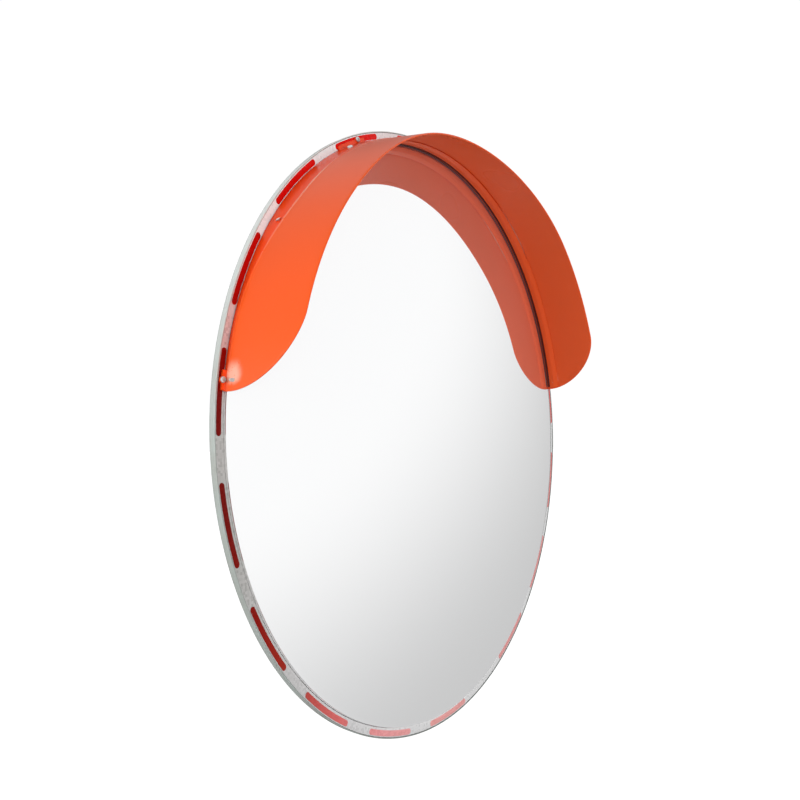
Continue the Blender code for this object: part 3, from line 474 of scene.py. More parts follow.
def threaded_rod(radius, pitch, start, smooth, end, steps=28):
    """A shank down from z = start, rolled with a thread from smooth to end.

    The thread's depth is a triangle wave of z / pitch plus the share of the turn, fading in at
    the top and cut by a chamfer at the tip.
    """
    z = np.concatenate([np.linspace(start, smooth, 4)[:-1], np.arange(smooth, end, -pitch / 8), [end]])
    a = np.linspace(0, 2 * np.pi, steps, endpoint=False)
    phase = (z[:, None] / pitch + a[None] / (2 * np.pi)) % 1
    depth = 0.55 * pitch * np.abs(2 * phase - 1) * np.clip((smooth - z[:, None]) / pitch, 0, 1)
    chamfer = np.clip(radius * 0.78 + (z[:, None] - end) * 1.0, 0, radius)
    r = np.minimum(radius - depth, chamfer)
    return skin(np.stack([r * np.cos(a), r * np.sin(a), z[:, None] + 0 * a], -1))


def zinc_finish():
    """Bright zinc with a faint blue and yellow cast in patches, and fine brushing in its gloss."""
    material, tree, shader = new_finish("zinc_plated_steel", Metallic=0.95)
    place, aged = weathered(tree, 3.0)
    cast = mix(tree, aged.outputs["Wear"], (0.62, 0.65, 0.69, 1), (0.66, 0.64, 0.56, 1))
    dots = mix(tree, aged.outputs["Speck"], cast, (0.42, 0.42, 0.42, 1))
    rough = spread(tree, aged.outputs["Height"], low=0.22, high=0.42)
    surface(tree, shader, dots, aged.outputs["Height"], 0.2, 0.0001, rough)
    return material


zinc = zinc_finish()


def fasten(name, skins, body, node):
    """A zinc-plated fastener made from its skins, in the place of its CAD node."""
    assign(mesh_piece(name, skins, zinc), body, node)


clamp_spots = [(x, z) for x in (-clamp_bolt_x, clamp_bolt_x) for z in (-clamp_bolt_z, clamp_bolt_z)]
for number, (x, z) in enumerate(clamp_spots, start=1):
    across = (math.cos(number), 0, math.sin(number))     # each tightened to its own angle
    seat = (x, -clamp_head_face, z)
    head = hex_head(clamp_thread, 0.0065)
    rod = threaded_rod(clamp_thread, clamp_pitch, 0.001, -0.018, -(clamp_bolt_end + clamp_head_face))
    fasten(f"ear_bolt_{number}", [put(part, seat, (0, -1, 0), across) for part in (head, rod)], "clamp",
        f"clamp_bolt_{number}")
    washer = put(flat_washer(0.010, 0.0056, washer_wall), (x, clamp_head_face, z), (0, 1, 0), (1, 0, 0))
    fasten(f"ear_washer_{number}", [washer], "clamp", f"clamp_washer_{number}")
    nut = put(hex_nut(clamp_thread, 0.008, 0.0052), (x, clamp_nut_face, z), (0, 1, 0), across)
    fasten(f"ear_nut_{number}", [nut], "clamp", f"clamp_nut_{number}")


# ---------------------------------------------------------------- pan and tilt pivots
# Each axis is an M12 bolt with a locking nut, two washers and two nylon friction discs, which
# hold the mirror where it is set.  The tilt bolt also carries a spacer tube between its lugs.
tilt_y = -0.124
pivot_thread = 0.006
pivot_pitch = 0.00175
disc_radius = 0.0145
disc_wall = 0.0015


def nylon_finish():
    """Moulded nylon, slightly see-through, with a fine grain and grey rub marks."""
    material, tree, shader = new_finish("white_nylon", Subsurface_Weight=0.15, Subsurface_Scale=0.002,
        Roughness=0.5)
    place, aged = weathered(tree, 4.0)
    tint = mix(tree, aged.outputs["Wear"], (0.80, 0.80, 0.76, 1), (0.62, 0.62, 0.60, 1))
    surface(tree, shader, tint, aged.outputs["Height"], 0.2, 0.0001)
    return material


nylon = nylon_finish()


def pivot(prefix, body, origin, along, across, lug_face, disc_face):
    """The stack of one axis: bolt and nut outside the lugs, washers on them, discs between them."""
    seat = lug_face + 0.0003 + washer_wall + 0.0003
    origin, along = np.array(origin, float), np.array(along, float)
    head = put(hex_head(pivot_thread, 0.0078), origin + along * seat, along, across)
    rod = threaded_rod(pivot_thread, pivot_pitch, 0.001, -2 * seat + 0.006, -(2 * seat + 0.0162))
    fasten(f"{prefix}_hex_bolt", [head, put(rod, origin + along * seat, along, across)], body,
        f"{prefix}_bolt")
    nut = put(hex_nut(pivot_thread, 0.0080, 0.0062), origin - along * seat, -along, across)
    collar = rounded([(0.0062, 0.0078), (0.0095, 0.0078), (0.0086, 0.0102), (0.0062, 0.0102)], 0.0007)
    collar = put(turned(collar), origin - along * seat, -along, across)
    fasten(f"{prefix}_lock_nut", [nut, collar], body, f"{prefix}_nut")
    for number, side in enumerate((1, -1), start=1):
        washer = put(flat_washer(0.012, pivot_hole, washer_wall),
            origin + along * side * (lug_face + 0.0003), along * side, across)
        fasten(f"{prefix}_flat_washer_{number}", [washer], body, f"{prefix}_washer_{number}")
        disc = put(flat_washer(disc_radius, pivot_hole, disc_wall),
            origin + along * side * (disc_face + 0.0003), along * side, across)
        assign(mesh_piece(f"{prefix}_friction_disc_{number}", [disc], nylon), body,
            f"{prefix}_disc_{number}")


pivot("pan", "clamp", (0, pan_y, 0), (0, 0, 1), (1, 0.2, 0), 0.0270, 0.0189)
pivot("tilt", "swivel", (0, tilt_y, 0), (1, 0, 0), (0, 1, 0.3), 0.0300, 0.0219)
tube = rounded(corners_of(pivot_hole, 0.0102, -0.0156, 0.0156), 0.0004)
fasten("tilt_spacer_tube", [put(turned(tube), (0, tilt_y, 0), (1, 0, 0), (0, 1, 0))], "swivel", "tilt_spacer")


# ---------------------------------------------------------------- swivel yoke
# The part that turns on the pan bolt: a tube, a web, a cross plate and two cheeks that hold the
# tilt bolt.  Welded from 6 mm steel and galvanised.
yoke_back = -0.094
yoke_front = -0.100
yoke_height = 0.036
cheek_middle = 0.027

barrel = rounded(corners_of(pivot_hole, 0.016, -0.0189, 0.0189), 0.0008)
barrel = put(turned(barrel, 72), (0, pan_y, 0), (0, 0, 1), (1, 0, 0))
web = put(plate(rounded(corners_of(-0.008, 0.008, -0.0100, 0.0045), 0.0008), 0.0324), (0, -0.0865, 0),
    (0, 0, 1), (1, 0, 0))
cross = put(plate(rounded(corners_of(-0.030, 0.030, -0.018, 0.018), 0.003), lug_wall),
    (0, (yoke_back + yoke_front) / 2, 0), (0, -1, 0), (1, 0, 0))
cheeks = [put(plate(tongue(0.0265, yoke_height / 2), lug_wall - 0.0001), (side * cheek_middle, tilt_y, 0),
    (1, 0, 0), (0, -1, 0)) for side in (-1, 1)]
yoke = mesh_piece("yoke_plates", [cross] + cheeks, galvanised)
drilled(yoke, [((0, tilt_y, 0), (1, 0, 0), pivot_hole, 0.08)])
assign(yoke, "swivel", "swivel_yoke")
yoke_tube = mesh_piece("yoke_tube", [barrel, web], galvanised)
assign(yoke_tube, "swivel")


def upright(x, y, reach):
    """A short upright line, for a bead between two upright plates."""
    return [(x, y, z) for z in np.linspace(-reach, reach, 20)]


beads = [weld_bead(upright(side * 0.0084, yoke_back + 0.0004, 0.0150), 0.0022) for side in (-1, 1)]
beads += [weld_bead(upright(side * 0.0086, pan_y - 0.0137, 0.0150), 0.0020) for side in (-1, 1)]
beads += [weld_bead(upright(side * 0.0238, yoke_front - 0.0004, 0.0160), 0.0020) for side in (-1, 1)]
yoke_welds = mesh_piece("yoke_welds", beads, galvanised, 60)
assign(yoke_welds, "swivel")


# ---------------------------------------------------------------- tilt bracket and backing plate
# A square 5 mm plate on the shell's back with two lugs for the tilt bolt, and inside the shell a
# round plate with four welded M8 studs.  The shell is squeezed between them by nuts.
plate_back = -0.154
plate_front = -0.159
stud_spots = [(x, z) for x in (-0.050, 0.050) for z in (-0.050, 0.050)]
stud_thread = 0.004
stud_pitch = 0.00125
stud_end = -0.1385

square = rounded(corners_of(-0.07, 0.07, -0.07, 0.07), 0.019, 12)
bracket_plate = put(plate(square, 0.005), (0, (plate_back + plate_front) / 2, 0), (0, -1, 0), (1, 0, 0))
bracket = mesh_piece("bracket_plate", [bracket_plate], galvanised)
drilled(bracket, [((x, plate_back, z), (0, 1, 0), 0.0046, 0.02) for x, z in stud_spots])
assign(bracket, "head", "tilt_bracket")
tilt_lugs = mesh_piece("bracket_lugs", [put(plate(tongue(0.0325, 0.018), lug_wall),
    (side * 0.0189, tilt_y, 0), (1, 0, 0), (0, 1, 0)) for side in (-1, 1)], galvanised)
drilled(tilt_lugs, [((0, tilt_y, 0), (1, 0, 0), pivot_hole, 0.08)])
assign(tilt_lugs, "head")
beads = [weld_bead(upright(x, plate_back + 0.0004, 0.0172), 0.0022)
    for x in (-0.0225, -0.0153, 0.0153, 0.0225)]
bracket_welds = mesh_piece("bracket_welds", beads, galvanised, 60)
assign(bracket_welds, "head")

disc = rounded(corners_of(0.0001, 0.086, 0, 0.003), [0, 0.0006, 0.0006, 0])
studs = [put(turned(disc, 96), (0, -0.1618, 0), (0, -1, 0), (1, 0, 0))]
for x, z in stud_spots:
    rod = threaded_rod(stud_thread, stud_pitch, 0.024, 0.010, 0.0)
    studs.append(put(rod, (x, stud_end, z), (0, -1, 0), (1, 0, 0)))
backing = mesh_piece("backing_studs", studs, zinc)
assign(backing, "head", "backing_plate")
for number, (x, z) in enumerate(stud_spots, start=1):
    across = (math.cos(2 * number), 0, math.sin(2 * number))
    washer = put(flat_washer(0.0084, 0.0046, washer_wall), (x, plate_back + 0.0003, z), (0, 1, 0), (1, 0, 0))
    fasten(f"stud_washer_{number}", [washer], "head", f"bracket_washer_{number}")
    nut = put(hex_nut(stud_thread, 0.0064, 0.0042), (x, plate_back + 0.0031, z), (0, 1, 0), across)
    fasten(f"stud_nut_{number}", [nut], "head", f"bracket_nut_{number}")


# ---------------------------------------------------------------- back shell
# The orange dish that closes the head from behind: 2.2 mm ABS, vacuum formed, with a flat boss for
# the bracket, shallow stiffening ribs and a drain hole at the bottom.
flange_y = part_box("mirror_dome")[1].y - 0.0020
shell_steps = 256


def facing(r, a, s):
    """Points in front of the flange: x = r sin a, y = flange - s, z = r cos a, so a = 0 is the top."""
    r, a, s = np.broadcast_arrays(r, a, s)
    return np.stack([r * np.sin(a), flange_y - s, r * np.cos(a)], -1)


def turned_head(profile, steps=shell_steps, lift=None):
    """A closed profile of (radius, forward) turned about the mirror's axis; lift(r, a) adds to forward."""
    profile = np.array(profile, float)
    a = np.linspace(0, 2 * np.pi, steps, endpoint=False)
    r, s = profile[:, :1], profile[:, 1:]
    return skin(facing(r, a, s + (lift(r, a) if lift else 0)), wrap_rows=True)


def ribs(r, a):
    """Twelve shallow ribs on the cone: depth times a bell across each rib times a flat-topped window on r."""
    across = r * (((a * 12 / (2 * np.pi)) % 1 - 0.5) * 2 * np.pi / 12)
    window = np.clip((r - 0.135) / 0.012, 0, 1) * np.clip((0.302 - r) / 0.012, 0, 1)
    return -0.0016 * np.exp(-((across / 0.007) ** 4)) * window * window * (3 - 2 * window)


def orange_finish():
    """Gloss orange plastic: slight orange peel, pale dust where it settles, fine scuffs in the gloss."""
    material, tree, shader = new_finish("orange_plastic", IOR=1.45, Specular_IOR_Level=0.3)
    place, aged = weathered(tree, 0.6)
    cloud = grain(tree, place, 6.0, 1.0).outputs["Fac"]
    tone = mix(tree, cloud, (0.91, 0.098, 0.009, 1), (0.90, 0.104, 0.013, 1))
    dust = maths(tree, "MULTIPLY", aged.outputs["Speck"], 0.012)
    dusty = mix(tree, dust, tone, (0.75, 0.55, 0.45, 1))
    peel = grain(tree, place, 260.0, 1.0)
    rough = spread(tree, cloud, low=0.22, high=0.38)
    surface(tree, shader, dusty, peel.outputs["Fac"], 0.04, 0.0002, rough)
    return material, tree, shader, dusty


orange, _, _, _ = orange_finish()

outside = [(0.3979, -0.0058), (0.3876, -0.0058), (0.3756, -0.0218), (0.3276, -0.0318), (0.200, -0.05148),
    (0.1212, -0.05742), (0.1092, -0.066), (0.0, -0.066)]
bends = [0.0004, 0.004, 0.012, 0.04, 0.10, 0.008, 0.005, 0]
fold = rounded(outside, bends, 8, closed=False)
way = np.concatenate([[0], np.cumsum(np.linalg.norm(np.diff(fold, axis=0), axis=1))])
even = np.linspace(0, way[-1], 150)
fold = np.stack([np.interp(even, way, fold[:, 0]), np.interp(even, way, fold[:, 1])], -1)
fold[-1, 0] = 0.0002
inside = fold + [0, 0.0022]
inside[:, 0] = np.where(inside[:, 0] > 0.3885, inside[:, 0],
    inside[:, 0] - 0.0013 * np.clip(inside[:, 0] / 0.1, 0, 1))
shell = mesh_piece("shell_dish", [turned_head(np.concatenate([fold, inside[::-1]]), lift=ribs)], orange, 50)
drilled(shell, [((0, flange_y + 0.033, -0.3176), (0, 1, 0), 0.004, 0.066)] + [((x, plate_front, z),
    (0, 1, 0), 0.0046, 0.03) for x, z in stud_spots])
assign(shell, "head", "back_shell")


# ---------------------------------------------------------------- domed mirror
# Clear polycarbonate, blown to a dome with a step and a flat flange, metallised on its back.
# The dome is part of a sphere; its finish is a mirror with a very faint haze.
dome_curve = 1.050
dome_edge = 0.3860
dome_step = 0.004
dome_apex = dome_step + dome_curve - math.sqrt(dome_curve ** 2 - dome_edge ** 2)
sheet = 0.0020


def dome_section(curve, edge, steps):
    """From the edge inwards on the sphere: r = R sin t, s = apex - R + R cos t."""
    t = np.linspace(math.asin(edge / curve), 0.0004, steps)
    return np.stack([curve * np.sin(t), dome_apex - dome_curve + curve * np.cos(t)], -1)


def mirror_finish():
    """Metallised sheet: near-perfect mirror, a little haze, and the softest waviness."""
    material, tree, shader = new_finish("mirror_coating", Metallic=0.935, IOR=1.5)
    place = object_place(tree)
    haze = grain(tree, place, 5.0, 4.0)
    tone = mix(tree, haze.outputs["Fac"], (0.985, 0.987, 0.99, 1), (0.975, 0.98, 0.985, 1))
    rough = spread(tree, haze.outputs["Fac"], low=0.012, high=0.022)
    surface(tree, shader, tone, haze.outputs["Fac"], 0.01, 0.0005, rough)
    return material


front = dome_section(dome_curve, dome_edge - 0.0010, 110)
step = rounded([(0.3979, 0.0), (dome_edge + 0.0002, 0.0), (dome_edge, dome_step + 0.0002), front[0]],
    [0.0002, 0.0008, 0.0009, 0], 6, closed=False)
hind = dome_section(dome_curve - sheet, dome_edge - sheet, 40)[::-1]
hind = np.concatenate([hind, [(dome_edge - sheet, -sheet), (0.3979, -sheet)]])
dome = mesh_piece("mirror_sheet", [turned_head(np.concatenate([step[:-1], front, hind]), 320)],
    mirror_finish(), 40)
assign(dome, "head", "mirror_dome")


# ---------------------------------------------------------------- rim gasket and edge trim
# A rubber ring between mirror and shell, and a grey U-channel pushed over both edges; the
# channel is one extruded strip whose ends meet at the bottom.


def rubber_finish():
    """Black rubber: matt, with a fine grain and pale chalking."""
    material, tree, shader = new_finish("black_rubber", Roughness=0.8)
    place, aged = weathered(tree, 3.0)
    tint = mix(tree, aged.outputs["Wear"], (0.018, 0.017, 0.017, 1), (0.04, 0.038, 0.036, 1))
    surface(tree, shader, tint, aged.outputs["Height"], 0.3, 0.0002)
    return material


rubber = rubber_finish()
gasket = rounded(corners_of(0.38975, 0.39625, -0.0023, -0.0033), 0.0004)
gasket = mesh_piece("gasket_ring", [turned_head(gasket)], rubber)
assign(gasket, "head", "rim_gasket")


def trim_finish():
    """Grey-green extruded strip with a satin sheen, streaked along the extrusion, with painted shade as dark
    lines on the lips and along the back foot, and paler towards the top.
    """
    material, tree, shader = new_finish("grey_edge_strip", Metallic=0.35, IOR=1.5)
    place, aged = weathered(tree, 1.6)
    axis = add(tree, "ShaderNodeSeparateXYZ", {0: place})
    squares = [maths(tree, "MULTIPLY", axis.outputs[i], axis.outputs[i]) for i in (0, 2)]
    total = maths(tree, "ADD", *squares)
    radius = maths(tree, "SQRT", total)
    line = add(tree, "ShaderNodeCombineXYZ", {0: radius, 1: axis.outputs[1]})
    streak = grain(tree, line.outputs[0], 900.0)
    tone = mix(tree, streak.outputs["Fac"], (0.30, 0.34, 0.32, 1), (0.50, 0.55, 0.52, 1))
    dull = mix(tree, aged.outputs["Wear"], tone, (0.36, 0.36, 0.33, 1))
    # Painted shade: dark on the lips' inner faces, below a radius of 0.3985, and along the back foot of the
    # strip.
    lip_painted_shade = spread(tree, radius, start=0.3990, end=0.3985, high=0.7, soft=True)
    foot = spread(tree, axis.outputs[1], start=flange_y + 0.0056, end=flange_y + 0.0070, high=0.7, soft=True)
    edge = maths(tree, "MAXIMUM", lip_painted_shade, foot)
    # Paler towards the top.
    paler_upwards = spread(tree, axis.outputs[2], start=-0.05, end=0.30, high=0.75, soft=True)
    paler = mix(tree, paler_upwards, dull, (0.74, 0.77, 0.75, 1))
    with_painted_shade = mix(tree, edge, paler, (0.09, 0.10, 0.10, 1))
    rough = spread(tree, streak.outputs["Fac"], low=0.25, high=0.45)
    surface(tree, shader, with_painted_shade, streak.outputs["Fac"], 0.15, 0.0001, rough)
    return material


section = [(0.3983, 0.0003), (0.3983, 0.0013), (0.4000, 0.0013), (0.3989, -0.0071), (0.3972, -0.0071),
    (0.3972, -0.0061), (0.3982, -0.0061), (0.3982, 0.0003)]
section = rounded(section, [0.0001, 0.0003, 0.0008, 0.0008, 0.0004, 0.0003, 0.0001, 0.0001], 6)
gap = 0.0004 / 0.4
a = np.linspace(-np.pi + gap, np.pi - gap, 361)[:, None]
trim = mesh_piece("edge_strip", [skin(facing(section[None, :, 0], a, section[None, :, 1]))], trim_finish())
assign(trim, "head", "edge_trim")


# ---------------------------------------------------------------- reflective film and its red bars
# A self-adhesive retroreflective strip on the flange: silver, with honeycomb cells, and printed
# with red bars that have round ends.  It is cut to length; the ends meet at the lower right.
film_inner = 0.3866
film_outer = 0.3980
film_face = 0.0007
bar_radius = 0.3932
bar_width = 0.0074
bar_span = math.radians(13.6)
bar_pitch = math.radians(20.65)
bar_middle = math.radians(-19.8)
bar_count = 17


def around_rim(tree, place):
    """Nodes that turn Object coordinates into the angle from the top, in turns from -0.5 to 0.5."""
    axis = add(tree, "ShaderNodeSeparateXYZ", {0: place})
    angle = maths(tree, "ARCTAN2", axis.outputs[0], axis.outputs[2])
    return maths(tree, "DIVIDE", angle, 2 * math.pi)


def ramp(tree, value, stops):
    """A colour ramp from (place, colour) stops."""
    node = add(tree, "ShaderNodeValToRGB", {"Fac": value})
    elements = node.color_ramp.elements
    elements[0].position, elements[0].color = stops[0][0], (*stops[0][1], 1)
    elements[1].position, elements[1].color = stops[-1][0], (*stops[-1][1], 1)
    for where, colour in stops[1:-1]:
        elements.new(where).color = (*colour, 1)
    return node.outputs["Color"]


def honeycomb_group():
    """Sealed cells of the film: Cell is the shade of each cell, Seal the raised lines between them."""
    group, given, out = new_group("honeycomb", {"Place": None},
        {"Cell": "NodeSocketFloat", "Seal": "NodeSocketFloat"})
    stretch = add(group, "ShaderNodeVectorMath", {0: given.outputs["Place"], 1: (330.0, 0.0, 330.0)},
        operation="MULTIPLY")
    cell = add(group, "ShaderNodeTexVoronoi", {"Vector": stretch.outputs[0], "Scale": 1.0,
        "Randomness": 0.25})
    seal = add(group, "ShaderNodeTexVoronoi", {"Vector": stretch.outputs[0], "Scale": 1.0,
        "Randomness": 0.25}, feature="DISTANCE_TO_EDGE")
    line = spread(group, seal.outputs["Distance"], start=0.03, end=0.10, low=1.0, high=0.0)
    shade = add(group, "ShaderNodeSeparateColor", {0: cell.outputs["Color"]})
    give(group, out, Cell=shade.outputs[0], Seal=line)
    return group


honeycomb = honeycomb_group()


def film_finish(name, stops, metallic, cell_tint, seal_tint, gloss=0.3):
    """Retroreflective film under clear vinyl: its colour is painted round the rim as painted light, shade and
    reflection, and varies cell by cell.
    """
    material, tree, shader = new_finish(name, Metallic=metallic, IOR=1.4, Specular_IOR_Level=gloss)
    place = object_place(tree)
    turn = maths(tree, "ADD", around_rim(tree, place), 0.5)
    base = ramp(tree, turn, stops)
    comb = add(tree, "ShaderNodeGroup", node_tree=honeycomb)
    tree.links.new(place, comb.inputs["Place"])
    amount = maths(tree, "MULTIPLY", comb.outputs["Cell"], 0.18)
    shaded = mix(tree, amount, base, (*cell_tint, 1))
    lined = mix(tree, comb.outputs["Seal"], shaded, (*seal_tint, 1))
    soft = mix(tree, 0.10, shaded, lined)
    rough = spread(tree, comb.outputs["Cell"], low=0.22, high=0.42)
    surface(tree, shader, soft, comb.outputs["Seal"], 0.25, 0.0001, rough)
    return material


# Painted light and shade round the rim: the silver is painted darkest grey on the lower left, with a painted
# pink reflection of the hood just above the left and a cool white over the upper left.
silver_painted_light_stops = [(0.0, (0.80, 0.80, 0.80)), (0.10, (0.66, 0.65, 0.65)), (0.20, (0.40, 0.39, 0.37)),
    (0.26, (0.46, 0.44, 0.42)), (0.285, (0.50, 0.34, 0.33)), (0.315, (0.66, 0.58, 0.57)),
    (0.345, (0.88, 0.97, 0.98)), (0.44, (0.90, 0.99, 1.00)), (0.49, (0.90, 0.86, 0.86)),
    (0.72, (0.86, 0.86, 0.86)), (1.0, (0.82, 0.82, 0.82))]
silver = film_finish("silver_film", silver_painted_light_stops, 0.10, (0.95, 0.93, 0.94), (0.62, 0.60, 0.61))
# Painted light and shade round the rim: the red bars are painted darkest on the left, bright red at the top
# and right, and pale pink towards the bottom as a painted white reflection.
red_painted_light_stops = [(0.0, (0.99, 0.46, 0.44)), (0.05, (1.00, 0.42, 0.43)), (0.09, (0.84, 0.19, 0.18)),
    (0.135, (0.42, 0.030, 0.015)), (0.17, (0.27, 0.006, 0.002)), (0.22, (0.17, 0.003, 0.001)),
    (0.28, (0.17, 0.002, 0.001)), (0.33, (0.48, 0.002, 0.001)), (0.40, (0.78, 0.003, 0.002)),
    (0.46, (0.95, 0.006, 0.002)), (0.70, (0.85, 0.02, 0.01)), (0.77, (0.88, 0.22, 0.21)),
    (0.84, (0.92, 0.38, 0.37)), (0.93, (0.96, 0.44, 0.43)), (1.0, (0.99, 0.46, 0.44))]
red = film_finish("red_film", red_painted_light_stops, 0.0, (0.30, 0.004, 0.002), (0.20, 0.003, 0.002), 0.10)

film = rounded(corners_of(film_inner, film_outer, 0.0003, film_face), 0.00012)
seam = bar_middle + math.pi
a = (seam + np.linspace(0.0006, 2 * math.pi - 0.0006, 361))[:, None]
film = mesh_piece("silver_strip", [skin(facing(film[None, :, 0], a, film[None, :, 1]))], silver)
assign(film, "head", "reflective_film")


def red_bar(middle):
    """A bar bent round the rim: a pill outline in (arc, radial) laid on the flange, its edge rounded.

    arc = radius times angle; the pill is a rectangle with a half circle of its width at each end.
    """
    half_width = bar_width / 2
    half_length = bar_span * bar_radius / 2 - half_width
    pill = np.concatenate([arc((half_length, 0), half_width, -90, 90, 12),
        arc((-half_length, 0), half_width, 90, 270, 12)])
    long_side = np.linspace(-half_length, half_length, 14)[1:-1]
    pill = np.concatenate([pill[:13], np.stack([long_side[::-1], np.full(12, half_width)], -1), pill[13:],
        np.stack([long_side, np.full(12, -half_width)], -1)])
    inset = np.array([0.0, 0.0, 0.0001, 0.0002])
    height = np.array([film_face - 0.0001, 0.00090, 0.00097, 0.0010])
    angle = np.arctan2(pill[:, 1], pill[:, 0] - np.clip(pill[:, 0], -half_length, half_length))
    inward = -np.stack([np.cos(angle), np.sin(angle)], -1)
    flat = pill[None] + inward[None] * inset[:, None, None]
    return skin(facing(bar_radius + flat[..., 1], middle + flat[..., 0] / bar_radius, height[:, None]))


bars = [red_bar(bar_middle + (number - (bar_count - 1) / 2) * bar_pitch) for number in range(bar_count)]
bars = mesh_piece("red_bars", bars, red)
assign(bars, "head")


# ---------------------------------------------------------------- hood, its strip and its seal
# A sheet of 2.2 mm orange plastic bent over the upper half, creased along its root, with four
# tabs turned out over the rim.  A strip inside takes its screws and a rubber lip seals it.
hood_root = 0.38900          # outside radius at the flange
hood_taper = math.tan(math.radians(3.9))
hood_wall = 0.0022
hood_top_reach = 0.082
hood_side_reach = 0.0945
hood_end = math.radians(81.7)
hood_corner = math.radians(12.5)
hood_start = 0.0015


def hood_reach(a):
    """How far the front edge stands out: a smooth step from the top's reach to the sides', then
    down to the hood's end by across^1.75 + reach^1.75 = 1, flatter than an ellipse."""
    share = np.clip(np.abs(a) / math.radians(45), 0, 1)
    full = hood_top_reach + (hood_side_reach - hood_top_reach) * share * share * (3 - 2 * share)
    across = 1 - np.clip(hood_end - np.abs(a), 0, hood_corner) / hood_corner
    return 0.008 + (full - 0.008) * np.clip(1 - across ** 1.75, 0, 1) ** (1 / 1.75)


def crease_reach(a):
    """The crease lies 23.5 mm out over the top and sinks to 5 mm along the sides."""
    share = np.clip((np.abs(np.degrees(a)) - 42) / 28, 0, 1)
    return 0.0235 - 0.0185 * share * share * (3 - 2 * share)


def hood_radius(a, s):
    """Outside radius: the taper, a root band 0.2 mm proud, and a bell-shaped ridge along the crease."""
    away = s - crease_reach(a)
    band = 1 / (1 + np.exp(np.clip(away / 0.00035, -40, 40)))
    return hood_root - s * hood_taper + 0.0002 * band + 0.00045 * np.exp(-((away / 0.0009) ** 2)) - 0.0002


def hood_skin():
    """The bent sheet: each column runs out along the outside, round the front edge and back inside."""
    corner = hood_end - hood_corner * (1 - np.cos(np.linspace(0, np.pi / 2, 40)))
    middle = np.linspace(hood_end - hood_corner, -(hood_end - hood_corner), 200)
    a = np.concatenate([corner[:-1], middle, -corner[-2::-1]])[:, None]
    reach = hood_reach(a)
    t = np.concatenate([np.linspace(0, 0.32, 84)[:-1], np.linspace(0.32, 1, 20)])[None]
    soft = hood_wall / 2
    out_s = hood_start + (reach - soft - hood_start) * t
    nose = np.linspace(0, np.pi, 9)[None, 1:-1]
    out_r = hood_radius(a, out_s)
    nose_s = reach - soft + soft * np.sin(nose)
    nose_r = hood_radius(a, reach) - soft * (1 - np.cos(nose))
    in_s = out_s[:, ::-1]
    in_r = out_r[:, ::-1] - hood_wall
    s = np.concatenate([out_s, nose_s, in_s], 1)
    r = np.concatenate([out_r, nose_r, in_r], 1)
    return skin(facing(r, a, s))


rim_screw_radius = 0.3929


def tab_skin(middle, span):
    """A tab: from inside the hood's root it bends out through a quarter circle and lies on the film.

    Its outer edge is an arc with rounded ends, and an ear, a half circle, round the screw.
    """
    a = middle + np.linspace(-span / 2, span / 2, 70)[:, None]
    edge = np.clip((span / 2 - np.abs(a - middle)) / (0.0012 / bar_radius), 0, 1)
    pull = 0.0012 * (1 - np.sqrt(np.clip(1 - (1 - edge) ** 2, 0, 1)))
    turn = np.linspace(0, np.pi / 2, 8)[None]
    bend = 0.0022
    top = 0.0033
    screw_angle = math.copysign(math.radians(20.0 if abs(middle) < 1 else 80.0), middle)
    arc_way = (a - screw_angle) * rim_screw_radius
    ear = rim_screw_radius + np.sqrt(np.clip(0.0037 ** 2 - arc_way ** 2, 0, 1))
    outer_end = np.clip(np.maximum(0.3938 - pull, np.where(np.abs(arc_way) < 0.0037, ear, 0)), 0, 0.3964)
    top_r = np.concatenate([hood_root - 0.0004 + bend * (1 - np.cos(turn)) + 0 * a, outer_end], 1)
    top_s = np.concatenate([top + bend * (1 - np.sin(turn)) + 0 * a, np.full_like(a, top)], 1)
    low_r = np.concatenate([outer_end, np.full_like(a, hood_root - 0.0012)], 1)
    low_s = np.concatenate([np.full_like(a, 0.00135), np.full_like(a, 0.0016)], 1)
    in_r = np.full_like(a, hood_root - 0.0012)
    in_s = np.full_like(a, top + bend)
    r = np.concatenate([top_r, low_r, in_r], 1)
    s = np.concatenate([top_s, low_s, in_s], 1)
    return skin(facing(r, a, s))


def hood_finish():
    """The orange plastic, with a pale painted highlight round the lowest screws and along the crease."""
    material, tree, shader, base = orange_finish()
    material.name = "orange_hood"
    place = tree.nodes["Texture Coordinate"].outputs["Object"]
    aged = next(node for node in tree.nodes if node.bl_idname == "ShaderNodeGroup")
    painted_highlight = add(tree, "ShaderNodeAttribute", attribute_name="painted_highlight").outputs["Fac"]
    band = add(tree, "ShaderNodeAttribute", attribute_name="root_band").outputs["Fac"]
    banded = mix(tree, band, base, (0.90, 0.064, 0.006, 1))
    uneven = maths(tree, "MULTIPLY", aged.outputs["Speck"], 0.25)
    # Pale painted highlight at the crease and round the lowest screws, broken up by specks.
    broken_highlight = maths(tree, "SUBTRACT", painted_highlight, uneven, use_clamp=True)
    pale = mix(tree, broken_highlight, banded, (0.92, 0.66, 0.52, 1))
    tree.links.new(pale, shader.inputs["Base Color"])
    return material


